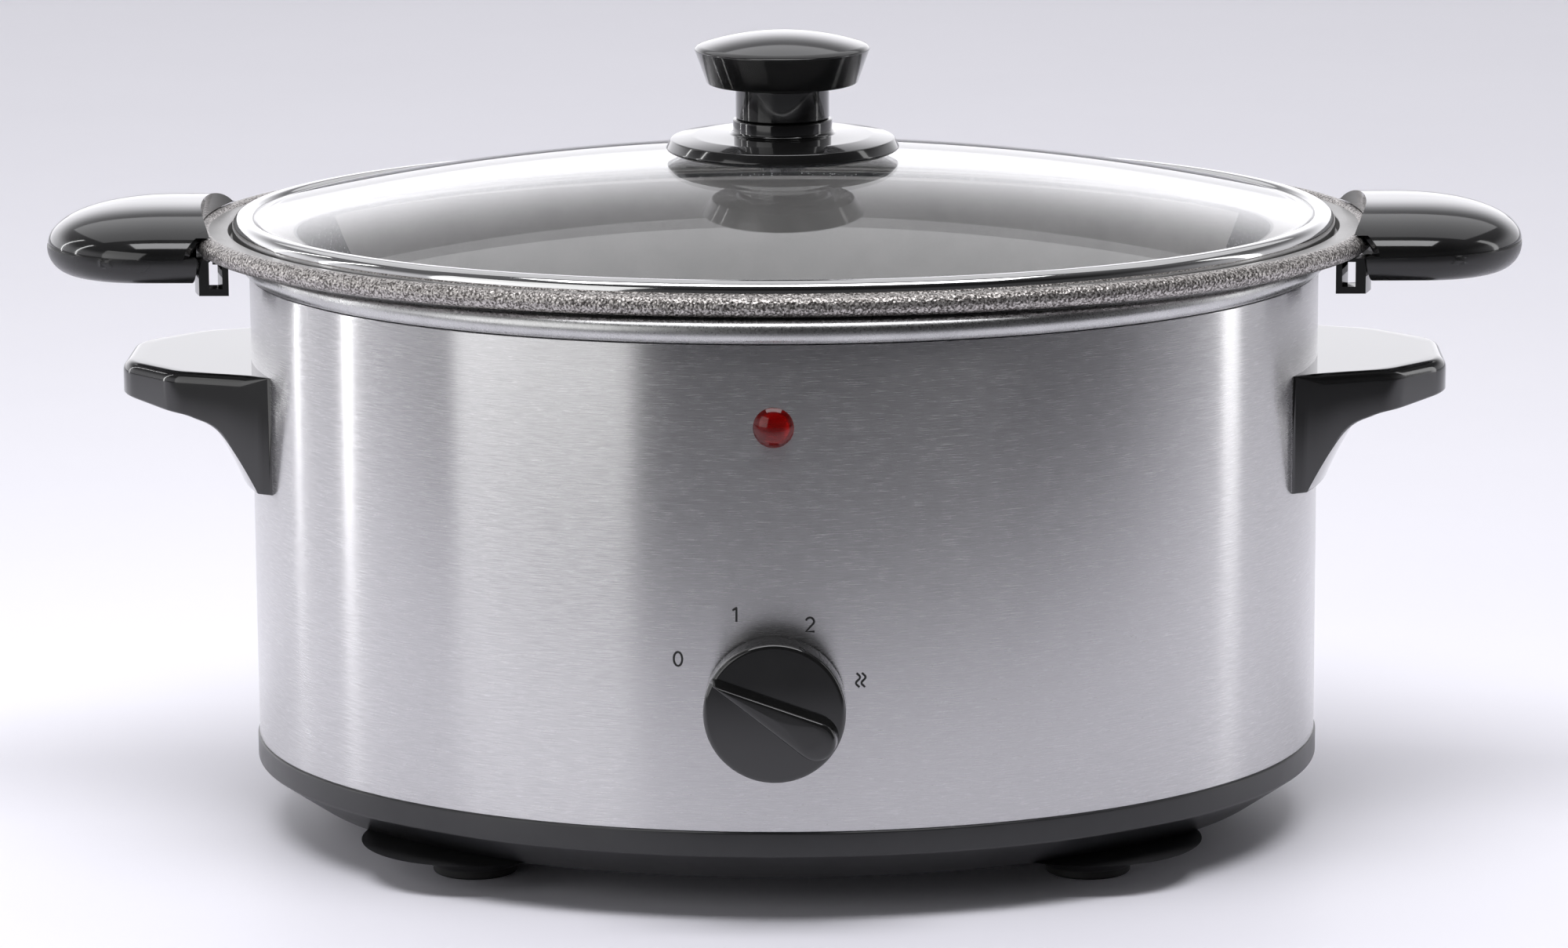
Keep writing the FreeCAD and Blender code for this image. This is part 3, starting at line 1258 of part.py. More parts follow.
def lamp_leads():
    """Two thin leads from the neon capsule down between the steel and the liner to the switch."""
    gap_y = f"{front_y} + shell_wall + 2.4"
    return group("lamp_leads", [
        wire("lamp_lead", "lead_radius", [
            (f"{way}0.9", f"{front_y} + neon_length + 1.6", "lamp_height"),
            (f"{way}1.2", f"{front_y} + 6.6", "lamp_height"),
            (f"{way}2", f"{front_y} + 6.2", "heater_high + 6"),
            (f"{way}4", gap_y, "heater_high + 1"), (f"{way}5", gap_y, "liner_low - 2"),
            (f"{way}6", f"{gap_y} + 8", "liner_low - 2"),
            (f"{way}tab_across", f"{tab_y} - 4", "liner_low - 2"),
            (f"{way}tab_across", f"{tab_y} - 3.4", f"{high_tab} + tab_thick / 2")])
        for way in ("", "-")])


# ---- build, check and write ---------------------------------------------------------------

NODES = [
    outer_housing(), base_moulding(), rubber_feet(), inner_liner(), liner_bridge(), tie_bolt(), tie_nut(),
    open_ring("heater_band", "fit_gap / 3", "heater_thick", "heater_low", "heater_high", "heater_gap / 2"),
    heater_straps(), strap_springs(), thermal_fuse(), fuse_clip(),
    control_dial(), switch_shaft(), switch_rotor(), switch_case(), switch_cover(), switch_tabs(),
    switch_screws(),
    indicator_lens(), neon_lamp(), lamp_clip(),
    side_handle("right"), side_handle("left"), side_handle_screws(),
    cooking_pot(),
    grip_top("right"), grip_top("left"), grip_bottom("right"), grip_bottom("left"), grip_screws(),
    catch_pins(),
    catch("right"), catch("left"), catch_spring("right"), catch_spring("left"),
    lid_glass(), lid_rim(), knob_skirt(), knob_cap(), knob_insert(), knob_seat(), knob_washer(), knob_bolt(),
    cord_gland(), gland_nut(), terminal_block(), terminal_screws(),
    live_wire(), neutral_wire(), fuse_wire(), low_heat_wire(), high_heat_wire(), earth_wire(), lamp_leads(),
]
doc.recompute()

for thing in doc.Objects:
    if "Invalid" in thing.State or "Error" in thing.State:
        raise RuntimeError(f"{thing.Label} failed: {thing.State}")
os.makedirs("parts", exist_ok=True)
for node in NODES:
    if node.Shape.isNull() or not node.Shape.isValid() or node.Shape.Volume <= 0:
        raise RuntimeError(f"{node.Label} has no valid solid")
    node.Shape.exportStep(f"parts/{node.Label}.step")
    print(f"{node.Label}: {len(node.Shape.Solids)} solid(s), {node.Shape.Volume / 1000:.2f} cm3")
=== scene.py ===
"""Studio scene of an oval slow cooker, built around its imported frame, in metres.

Every piece is a grid of points worked out with numpy. Ovals share one centre line, and a profile
of (half length, half width, height) rows is carried once around it. Pieces ride on the frame's bodies.
"""

from __future__ import annotations

import json
import logging
import math
from dataclasses import dataclass
from enum import Enum

import bmesh
import bpy
import numpy as np
from mathutils import Matrix, Vector

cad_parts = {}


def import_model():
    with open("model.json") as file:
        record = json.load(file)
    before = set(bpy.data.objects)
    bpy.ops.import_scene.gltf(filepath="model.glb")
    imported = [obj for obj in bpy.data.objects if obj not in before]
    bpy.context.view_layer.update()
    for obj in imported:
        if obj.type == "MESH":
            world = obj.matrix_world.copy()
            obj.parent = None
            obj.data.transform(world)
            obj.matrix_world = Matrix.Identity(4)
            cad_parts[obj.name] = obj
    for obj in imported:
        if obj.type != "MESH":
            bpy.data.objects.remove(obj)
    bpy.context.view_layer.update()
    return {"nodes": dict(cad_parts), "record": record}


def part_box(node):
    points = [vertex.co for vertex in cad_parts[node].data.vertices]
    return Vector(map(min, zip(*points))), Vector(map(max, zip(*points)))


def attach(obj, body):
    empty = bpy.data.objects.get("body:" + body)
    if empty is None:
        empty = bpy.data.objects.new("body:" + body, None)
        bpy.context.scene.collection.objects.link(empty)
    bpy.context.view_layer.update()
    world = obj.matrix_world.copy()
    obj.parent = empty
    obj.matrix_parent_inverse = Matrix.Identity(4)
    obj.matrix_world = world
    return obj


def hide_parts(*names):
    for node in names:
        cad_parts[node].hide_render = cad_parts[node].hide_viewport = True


LOG = logging.getLogger("slow_cooker")
MM = 0.001
AROUND = 288
MIX_COLOUR_INPUTS = (6, 7)
MIX_COLOUR_OUTPUT = 2


class Body(Enum):
    """Bodies of the frame that pieces ride on."""

    BASE = "base"
    DIAL = "dial"
    POT = "pot"
    RIGHT_CATCH = "right_catch"
    LEFT_CATCH = "left_catch"
    LID = "lid"


class Side(Enum):
    """The two ends of the cooker, with the sign of X on each."""

    RIGHT = 1
    LEFT = -1

    @property
    def word(self) -> str:
        """Name of the side as the frame's nodes write it."""
        return self.name.lower()


# ---- shapes worked out as grids -----------------------------------------------------------


def rounded_line(corners: list[tuple[float, float, float]], closed: bool = False, steps: int = 6) -> np.ndarray:
    """Straight runs joined by circle arcs.

    An arc of radius r in a corner of half angle h starts r / tan(h) before the corner, and its
    middle lies r / sin(h) along the corner's bisector.

    Args:
        corners: (x, y, radius) of each corner; radius 0 keeps it sharp.
        closed: whether the last corner joins the first.
        steps: pieces in each arc.

    Returns:
        Points of the line, one row each.
    """
    points = np.array([corner[:2] for corner in corners], float)
    runs = []
    for i, (_, _, radius) in enumerate(corners):
        if radius <= 0 or (not closed and i in (0, len(corners) - 1)):
            runs.append(points[i][None])
            continue
        back, ahead = points[i - 1] - points[i], points[(i + 1) % len(points)] - points[i]
        back, ahead = back / np.linalg.norm(back), ahead / np.linalg.norm(ahead)
        half = math.acos(float(np.clip(back @ ahead, -1, 1))) / 2
        middle = points[i] + (back + ahead) / np.linalg.norm(back + ahead) * radius / math.sin(half)
        first, last = (points[i] + way * radius / math.tan(half) - middle for way in (back, ahead))
        begin = math.atan2(first[1], first[0])
        sweep = (math.atan2(last[1], last[0]) - begin + math.pi) % (2 * math.pi) - math.pi
        angles = begin + sweep * np.linspace(0, 1, steps + 1)
        runs.append(middle + radius * np.stack([np.cos(angles), np.sin(angles)], -1))
    return np.concatenate(runs)


def arc(x: float, y: float, radius: float, begin: float, end: float, steps: int = 16) -> np.ndarray:
    """Points of a circle arc between two angles in degrees: middle plus radius times (cos, sin)."""
    angles = np.radians(np.linspace(begin, end, steps + 1))
    return np.stack([x + radius * np.cos(angles), y + radius * np.sin(angles)], -1)


def even_line(line: np.ndarray, count: int) -> np.ndarray:
    """The same open line with its points spread evenly: each coordinate against length along it."""
    along = np.concatenate([[0], np.cumsum(np.linalg.norm(np.diff(line, axis=0), axis=1))])
    wanted = np.linspace(0, along[-1], count)
    return np.stack([np.interp(wanted, along, line[:, i]) for i in range(line.shape[1])], -1)


def smooth_curve(at: np.ndarray, knots: np.ndarray, values: np.ndarray) -> np.ndarray:
    """Cubic through knots whose slope at each is that of the chord between its neighbours."""
    slopes = np.gradient(values, knots)
    at = np.clip(at, knots[0], knots[-1])
    i = np.clip(np.searchsorted(knots, at, side="right") - 1, 0, len(knots) - 2)
    width = knots[i + 1] - knots[i]
    t = (at - knots[i]) / width
    return ((1 + 2 * t) * (1 - t) ** 2 * values[i] + t * (1 - t) ** 2 * width * slopes[i]
            + t ** 2 * (3 - 2 * t) * values[i + 1] + t ** 2 * (t - 1) * width * slopes[i + 1])


def oval_grid(rows: np.ndarray, middle_y: float, columns: int = AROUND) -> np.ndarray:
    """Rows of (half length, half width, height) carried around: x = a cos t, y = middle + b sin t."""
    t = np.linspace(0, 2 * np.pi, columns, endpoint=False)
    x, y = np.outer(rows[:, 0], np.cos(t)), middle_y + np.outer(rows[:, 1], np.sin(t))
    return np.stack([x, y, np.repeat(rows[:, 2:3], columns, 1)], -1)


def turned_grid(rows: np.ndarray, columns: int = 96) -> np.ndarray:
    """Rows of (radius, height) turned about Z: x = r cos t, y = r sin t."""
    return oval_grid(np.stack([rows[:, 0], rows[:, 0], rows[:, 1]], -1), 0.0, columns)


def stood_forward(grid: np.ndarray, y: float, z: float) -> np.ndarray:
    """A grid turned so that its +Z points to the front, -Y, and its +Y up, then set at (0, y, z)."""
    return np.stack([grid[..., 0], y - grid[..., 2], z + grid[..., 1]], -1)


def offset_from(x: np.ndarray, y: np.ndarray, half_x: float, half_y: float) -> np.ndarray:
    """How much an oval's two halves must both grow to pass through (x, y), by Newton's steps."""
    grow = np.zeros(np.broadcast(x, y).shape)
    for _ in range(12):
        wide, deep = half_x + grow, half_y + grow
        over = (x / wide) ** 2 + (y / deep) ** 2 - 1
        grow = grow + over / (2 * x ** 2 / wide ** 3 + 2 * y ** 2 / deep ** 3)
    return grow


class Form:
    """Collects grids of points and makes one mesh of them, with its faces outwards."""

    def __init__(self, name: str) -> None:
        """Starts an empty form under the piece's name."""
        self.name = name
        self.points: list[np.ndarray] = []
        self.faces: list[np.ndarray] = []
        self.slots: list[np.ndarray] = []

    def add(self, grid: np.ndarray, around: bool = True, loop: bool = False,
            slots: int | np.ndarray = 0) -> Form:
        """Adds a closed surface.

        The sum over its faces of corner . (corner x corner) is six times its volume; where that is
        negative, the faces are turned round.

        Args:
            grid: points as (rows, columns, 3).
            around: whether the last column joins the first.
            loop: whether the last row joins the first.
            slots: material number of all faces, or of each row of faces.

        Returns:
            The form itself.
        """
        rows, columns = grid.shape[:2]
        index = np.arange(rows * columns).reshape(rows, columns)
        index = np.concatenate([index, index[:, :1]], 1) if around else index
        index = np.concatenate([index, index[:1]], 0) if loop else index
        quads = np.stack([index[:-1, :-1], index[:-1, 1:], index[1:, 1:], index[1:, :-1]], -1)
        each = np.broadcast_to(np.reshape(slots, (-1, 1)), quads.shape[:2]).reshape(-1)
        quads, flat = quads.reshape(-1, 4), grid.reshape(-1, 3)
        a, b, c, d = (flat[quads[:, i]] for i in range(4))
        volume = np.einsum("ij,ij->", a, np.cross(b, c)) + np.einsum("ij,ij->", a, np.cross(c, d))
        quads = quads[:, ::-1] if volume < 0 else quads
        self.faces.append(quads + sum(len(points) for points in self.points))
        self.points.append(flat)
        self.slots.append(each)
        return self

    def make(self, body: Body, slot: str, materials: list[bpy.types.Material], replaces: tuple[str, ...] = (),
             sharp: float = 38.0) -> bpy.types.Object:
        """Writes the mesh, welds its seams and poles, and sets it on its body.

        Args:
            body: body that the piece rides on.
            slot: the record's material slot; not used.
            materials: one material for each number given to add().
            replaces: nodes of the frame that the piece stands for.
            sharp: angle in degrees above which an edge shades sharp.

        Returns:
            The finished object.
        """
        points, faces = np.concatenate(self.points), np.concatenate(self.faces)
        mesh = bpy.data.meshes.new(self.name)
        mesh.vertices.add(len(points))
        mesh.vertices.foreach_set("co", points.astype(np.float32).ravel())
        mesh.loops.add(faces.size)
        mesh.loops.foreach_set("vertex_index", faces.astype(np.int32).ravel())
        mesh.polygons.add(len(faces))
        mesh.polygons.foreach_set("loop_start", np.arange(0, faces.size, 4, dtype=np.int32))
        mesh.polygons.foreach_set("material_index", np.concatenate(self.slots).astype(np.int32))
        mesh.update(calc_edges=True)
        weld(mesh)
        for material in materials:
            mesh.materials.append(material)
        return settle(mesh, body, replaces, sharp)


def weld(mesh: bpy.types.Mesh) -> None:
    """Merges a mesh's doubled points and drops the faces that close up."""
    work = bmesh.new()
    work.from_mesh(mesh)
    bmesh.ops.remove_doubles(work, verts=work.verts, dist=2e-7)
    bmesh.ops.dissolve_degenerate(work, edges=work.edges, dist=1e-8)
    work.to_mesh(mesh)
    work.free()


def settle(mesh: bpy.types.Mesh, body: Body, replaces: tuple[str, ...],
           sharp: float) -> bpy.types.Object:
    """Shades a mesh smooth between its sharp edges and puts it on its body."""
    mesh.shade_smooth()
    mesh.set_sharp_from_angle(angle=math.radians(sharp))
    piece = bpy.data.objects.new(mesh.name, mesh)
    bpy.context.scene.collection.objects.link(piece)
    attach(piece, body.value)
    if replaces:
        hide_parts(*replaces)
    LOG.info("%s: %d faces on %s", piece.name, len(mesh.polygons), body.value)
    return piece


def softened(name: str, node: str, body: Body, material: bpy.types.Material) -> bpy.types.Object:
    """A node's own shape, welded so that its curved faces shade smooth."""
    mesh = bpy.data.objects[node].data.copy()
    mesh.name = name
    weld(mesh)
    mesh.materials.clear()
    mesh.materials.append(material)
    return settle(mesh, body, (node,), 30.0)


# ---- finishes -----------------------------------------------------------------------------


class Tree:
    """The node tree of one material, with short calls for the patterns that finishes share."""

    def __init__(self, name: str) -> None:
        """Starts a material with a Principled shader and its output."""
        self.material = bpy.data.materials.new(name)
        self.material.use_nodes = True
        self.nodes = self.material.node_tree.nodes
        self.nodes.clear()
        self.output = self.nodes.new("ShaderNodeOutputMaterial")
        self.shader = self.add("ShaderNodeBsdfPrincipled")
        self.wire(self.shader.outputs["BSDF"], self.output.inputs["Surface"])
        self.place = self.add("ShaderNodeTexCoord").outputs["Object"]

    def wire(self, source: bpy.types.NodeSocket, target: bpy.types.NodeSocket) -> None:
        """Joins an output to an input."""
        self.material.node_tree.links.new(source, target)

    def add(self, kind: str, inputs: dict | None = None, **settings: object) -> bpy.types.Node:
        """Adds a node; an input is a value or another node's output."""
        node = self.nodes.new(kind)
        for key, value in settings.items():
            setattr(node, key, value)
        self.set(node, inputs or {})
        return node

    def set(self, node: bpy.types.Node, inputs: dict) -> None:
        """Sets a node's inputs, each to a value or another node's output."""
        for key, value in inputs.items():
            if isinstance(value, bpy.types.NodeSocket):
                self.wire(value, node.inputs[key])
            else:
                node.inputs[key].default_value = value

    def noise(self, scale: tuple[float, float, float], detail: float = 3.0) -> bpy.types.NodeSocket:
        """Smooth noise, its place scaled along each axis."""
        place = self.add("ShaderNodeMapping", {
            "Vector": self.place, "Scale": scale}).outputs["Vector"]
        return self.add("ShaderNodeTexNoise", {
            "Vector": place, "Scale": 1.0, "Detail": detail, "Roughness": 0.6}).outputs["Fac"]

    def cells(self, scale: float) -> bpy.types.Node:
        """Cell pattern with so many cells to the metre."""
        return self.add("ShaderNodeTexVoronoi", {"Vector": self.place, "Scale": scale})

    def spread(self, source: bpy.types.NodeSocket, low: float, high: float, out_low: float,
               out_high: float) -> bpy.types.NodeSocket:
        """Maps a value from one range to another, held at its ends."""
        return self.add("ShaderNodeMapRange", {
            "Value": source, "From Min": low, "From Max": high, "To Min": out_low, "To Max": out_high,
        }).outputs["Result"]

    def blend(self, share: bpy.types.NodeSocket, first: tuple, second: tuple) -> bpy.types.NodeSocket:
        """Mixes two colours, or a colour and a socket, by a share."""
        node = self.add("ShaderNodeMix", data_type="RGBA")
        self.wire(share, node.inputs[0])
        for slot, value in zip(MIX_COLOUR_INPUTS, (first, second)):
            if isinstance(value, bpy.types.NodeSocket):
                self.wire(value, node.inputs[slot])
            else:
                node.inputs[slot].default_value = (*value, 1.0)
        return node.outputs[MIX_COLOUR_OUTPUT]

    def bump(self, height: bpy.types.NodeSocket, depth: float, strength: float = 1.0,
             under: bpy.types.NodeSocket | None = None) -> bpy.types.NodeSocket:
        """Bump of a depth in metres, on top of another if given."""
        inputs = {"Height": height, "Distance": depth, "Strength": strength}
        if under is not None:
            inputs["Normal"] = under
        return self.add("ShaderNodeBump", inputs).outputs["Normal"]


@dataclass(frozen=True)
class BrushedSteel:
    """Stainless sheet with a fine horizontal grain that stretches reflections upright."""

    name: str = "brushed_steel"
    dark: tuple[float, float, float] = (0.52, 0.515, 0.52)
    light: tuple[float, float, float] = (0.66, 0.655, 0.66)
    roughness: float = 0.25
    anisotropy: float = 1.0

    def make(self) -> bpy.types.Material:
        """Builds the material: long streaks of two lengths drive colour, roughness and bump."""
        tree = Tree(self.name)
        fine = tree.noise((190.0, 190.0, 6200.0), 2.0)
        dashes = tree.noise((330.0, 330.0, 3600.0), 2.0)
        flecks = tree.spread(dashes, 0.60, 0.74, 0.0, 1.0)
        grain = tree.blend(tree.spread(fine, 0.3, 0.7, 0.0, 1.0), self.dark, self.light)
        tree.set(tree.shader, {
            "Base Color": tree.blend(tree.spread(flecks, 0.0, 1.0, 0.0, 0.4), grain, (0.86, 0.86, 0.87)),
            "Metallic": 1.0,
            "Roughness": tree.spread(fine, 0.3, 0.7, self.roughness - 0.03, self.roughness + 0.03),
            "Anisotropic": self.anisotropy,
            "Anisotropic Rotation": 0.25,
            "Tangent": tree.add("ShaderNodeTangent", direction_type="RADIAL", axis="Z").outputs["Tangent"],
            "Normal": tree.bump(fine, 0.00001, 0.3),
        })
        return tree.material


@dataclass(frozen=True)
class Metal:
    """Plain metal with a soft mottle and a little fine texture."""

    name: str
    colour: tuple[float, float, float]
    roughness: float
    mottle: float = 0.04
    pitch: float = 900.0
    depth: float = 0.00001

    def make(self) -> bpy.types.Material:
        """Builds the material: broad noise shades it, fine noise roughens and bumps it."""
        tree = Tree(self.name)
        broad, fine = tree.noise((40.0,) * 3), tree.noise((self.pitch,) * 3)
        darker = tuple(max(0.0, part - self.mottle * 2) for part in self.colour)
        tree.set(tree.shader, {
            "Base Color": tree.blend(tree.spread(broad, 0.3, 0.7, 0.0, 1.0), darker, self.colour),
            "Metallic": 1.0,
            "Roughness": tree.spread(
                fine, 0.3, 0.7, max(0.02, self.roughness - self.mottle), self.roughness + self.mottle),
            "Normal": tree.bump(fine, self.depth, 0.4),
        })
        return tree.material


@dataclass(frozen=True)
class Plastic:
    """Moulded plastic or rubber, from gloss to matt, with faint mould grain."""

    name: str
    colour: tuple[float, float, float]
    roughness: float
    coat: float = 0.0
    grain: float = 1400.0
    depth: float = 0.000008

    def make(self) -> bpy.types.Material:
        """Builds the material: fine noise for mould grain, broad noise for slight wear."""
        tree = Tree(self.name)
        broad, fine = tree.noise((55.0,) * 3), tree.noise((self.grain,) * 3)
        lighter = tuple(part * 1.35 + 0.0015 for part in self.colour)
        tree.set(tree.shader, {
            "Base Color": tree.blend(tree.spread(broad, 0.35, 0.7, 0.0, 1.0), self.colour, lighter),
            "Roughness": tree.spread(broad, 0.3, 0.7, self.roughness * 0.85, self.roughness * 1.2),
            "Coat Weight": self.coat,
            "Coat Roughness": 0.03,
            "IOR": 1.5,
            "Normal": tree.bump(fine, self.depth, 0.25),
        })
        return tree.material


@dataclass(frozen=True)
class SpeckledCoat:
    """Dark non-stick coat sown with pale mineral specks that catch the light."""

    name: str
    ground: tuple[float, float, float]
    speck: tuple[float, float, float]
    pitch: float = 1300.0
    share: float = 0.16
    roughness: float = 0.34
    metallic: float = 0.25
    depth: float = 0.00003

    def make(self) -> bpy.types.Material:
        """Builds the material: a cell shows as a speck near its middle if its random colour is high."""
        tree = Tree(self.name)
        cells = tree.cells(self.pitch)
        lot = tree.add("ShaderNodeSeparateColor", {"Color": cells.outputs["Color"]}).outputs["Red"]
        chosen = tree.spread(lot, 1.0 - self.share, 1.0 - self.share + 0.02, 0.0, 1.0)
        near = tree.spread(cells.outputs["Distance"], 0.22, 0.42, 1.0, 0.0)
        speck = tree.add("ShaderNodeMath", {0: chosen, 1: near}, operation="MULTIPLY").outputs["Value"]
        broad = tree.noise((60.0,) * 3)
        cloudy = tree.blend(tree.spread(broad, 0.3, 0.7, 0.0, 1.0), self.ground,
                            tuple(part * 1.25 for part in self.ground))
        tree.set(tree.shader, {
            "Base Color": tree.blend(speck, cloudy, self.speck),
            "Metallic": self.metallic,
            "Roughness": tree.spread(speck, 0.0, 1.0, self.roughness, self.roughness * 0.6),
            "Normal": tree.bump(tree.noise((self.pitch * 0.8,) * 3), self.depth, 0.5),
        })
        return tree.material


@dataclass(frozen=True)
class HammeredRim:
    """Rolled rim with a coarse pebbled glaze of light and dark grains."""

    name: str = "pebbled_rim"
    dark: tuple[float, float, float] = (0.10, 0.09, 0.085)
    light: tuple[float, float, float] = (0.62, 0.59, 0.57)

    def make(self) -> bpy.types.Material:
        """Builds the material: cell walls and noise give pebbles that tilt the reflections."""
        tree = Tree(self.name)
        pebbles = tree.cells(1150.0).outputs["Distance"]
        fine = tree.noise((2300.0,) * 3)
        tone = tree.spread(tree.noise((1500.0,) * 3, 2.0), 0.40, 0.60, 0.0, 1.0)
        tree.set(tree.shader, {
            "Base Color": tree.blend(tone, self.dark, self.light),
            "Metallic": 0.8,
            "Roughness": tree.spread(fine, 0.3, 0.7, 0.22, 0.42),
            "Normal": tree.bump(pebbles, 0.00025, 0.9, tree.bump(fine, 0.00004, 0.5)),
        })
        return tree.material


@dataclass(frozen=True)
class Glass:
    """Clear or tinted glass that lets lamps through, with faint smears on its surface."""

    name: str
    tint: tuple[float, float, float] = (1.0, 1.0, 1.0)
    roughness: float = 0.0
    clear: float = 1.0

    def make(self) -> bpy.types.Material:
        """Builds the material: shadow rays meet a see-through shader in place of the glass."""
        tree = Tree(self.name)
        smear = tree.noise((14.0, 14.0, 30.0), 4.0)
        tree.set(tree.shader, {
            "Base Color": (*self.tint, 1.0),
            "Transmission Weight": self.clear,
            "IOR": 1.47,
            "Roughness": tree.spread(smear, 0.45, 0.8, self.roughness, self.roughness + 0.03),
        })
        open_way = tree.add("ShaderNodeBsdfTransparent", {"Color": (*self.tint, 1.0)}).outputs["BSDF"]
        shadow = tree.add("ShaderNodeLightPath").outputs["Is Shadow Ray"]
        either = tree.add("ShaderNodeMixShader", {0: shadow, 1: tree.shader.outputs["BSDF"], 2: open_way})
        tree.wire(either.outputs["Shader"], tree.output.inputs["Surface"])
        return tree.material


class Finishes:
    """Every material of the cooker, made once."""

    def __init__(self) -> None:
        """Makes the materials."""
        self.steel = BrushedSteel().make()
        self.collar = Metal("collar_steel", (0.60, 0.60, 0.60), 0.30, 0.06, 1800.0, 0.00005).make()
        self.liner = Metal("liner_steel", (0.55, 0.55, 0.56), 0.34).make()
        self.plain = Metal("plain_steel", (0.58, 0.58, 0.60), 0.28).make()
        self.chrome = Metal("bright_band", (0.66, 0.66, 0.66), 0.07, 0.015, 300.0, 0.000002).make()
        self.brass = Metal("brass_parts", (0.72, 0.52, 0.22), 0.25).make()
        self.flange = SpeckledCoat("flange_coat", (0.30, 0.295, 0.29), (0.55, 0.55, 0.54), pitch=2200.0,
                                   share=0.10, roughness=0.36, metallic=0.55, depth=0.00002).make()
        self.coat = SpeckledCoat("inner_coat", (0.026, 0.028, 0.030), (0.95, 0.96, 1.0), pitch=1500.0,
                                 share=0.16, roughness=0.36, metallic=0.35).make()
        self.rim = HammeredRim().make()
        self.gloss = Plastic("gloss_black", (0.006, 0.006, 0.006), 0.10, 0.6).make()
        self.satin = Plastic("satin_black", (0.010, 0.010, 0.010), 0.27, 0.1).make()
        self.tray = Plastic("base_black", (0.016, 0.016, 0.017), 0.33, 0.1, 2600.0, 0.00002).make()
        self.rubber = Plastic("foot_rubber", (0.014, 0.014, 0.014), 0.7).make()
        self.silicone = Plastic("silicone_washer", (0.03, 0.03, 0.03), 0.5).make()
        self.housed = Plastic("switch_plastic", (0.55, 0.53, 0.48), 0.45).make()
        self.mica = Plastic("heater_mica", (0.42, 0.36, 0.27), 0.55).make()
        self.ink = Plastic("printed_black", (0.004, 0.004, 0.004), 0.45).make()
        self.glass = Glass("lid_glass_clear").make()
        self.lens = Glass("lens_red", (0.50, 0.004, 0.003), 0.02, 0.92).make()
        self.bulb = Glass("lamp_clear", (0.95, 0.85, 0.75)).make()
        self.wires = {
            "wire_brown": Plastic("wire_brown", (0.16, 0.06, 0.03), 0.4).make(),
            "wire_blue": Plastic("wire_blue", (0.02, 0.07, 0.35), 0.4).make(),
            "wire_green": Plastic("wire_green", (0.05, 0.25, 0.05), 0.4).make(),
            "wire_white": Plastic("wire_white", (0.6, 0.6, 0.58), 0.4).make(),
        }

    def for_slot(self, slot: str) -> bpy.types.Material:
        """Material that a node of the frame takes by its slot's name."""
        named = {
            "steel_brushed": self.steel, "steel_plain": self.plain, "chrome": self.chrome,
            "black_gloss": self.gloss, "black_satin": self.satin, "base_black": self.tray,
            "rubber": self.rubber, "pot_coat": self.coat, "liner_steel": self.liner, "glass": self.glass,
            "lens_red": self.lens, "lamp_glass": self.bulb, "silicone": self.silicone, "brass": self.brass,
            "mica": self.mica, "switch_plastic": self.housed, **self.wires,
        }
        return named[slot]


# ---- the cooker's sub-assemblies ----------------------------------------------------------


@dataclass(frozen=True)
class Oval:
    """The housing's oval, which every other oval shares its middle with."""

    half_x: float
    half_y: float
    middle_y: float

    @classmethod
    def read(cls) -> Oval:
        """Reads the oval from the frame's housing."""
        low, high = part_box("outer_housing")
        return cls((high.x - low.x) / 2, (high.y - low.y) / 2, (high.y + low.y) / 2)

    def rows(self, profile: np.ndarray) -> np.ndarray:
        """Rows for a profile of (growth over the housing's halves, height)."""
        return np.stack([self.half_x + profile[:, 0], self.half_y + profile[:, 0], profile[:, 1]], -1)

    def front(self, x: np.ndarray) -> np.ndarray:
        """Y of the housing's front face at x: middle less half_y times sqrt(1 - (x / half_x)^2)."""
        return self.middle_y - self.half_y * np.sqrt(1 - (x / self.half_x) ** 2)


@dataclass
class Housing:
    """Brushed steel wall, an open oval tube."""

    oval: Oval
    wall: float = 0.6 * MM
    edge: float = 0.25 * MM

    def build(self, finishes: Finishes) -> None:
        """Carries the thin wall's section once around the oval."""
        low, high = (corner.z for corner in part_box("outer_housing"))
        section = rounded_line([
            (0.0, low, self.edge), (0.0, high, self.edge), (-self.wall, high, self.edge),
            (-self.wall, low, self.edge)], closed=True, steps=3)
        Form("steel_wall").add(oval_grid(self.oval.rows(section), self.oval.middle_y, 384), loop=True).make(
            Body.BASE, "steel_brushed", [finishes.steel], ("outer_housing",))


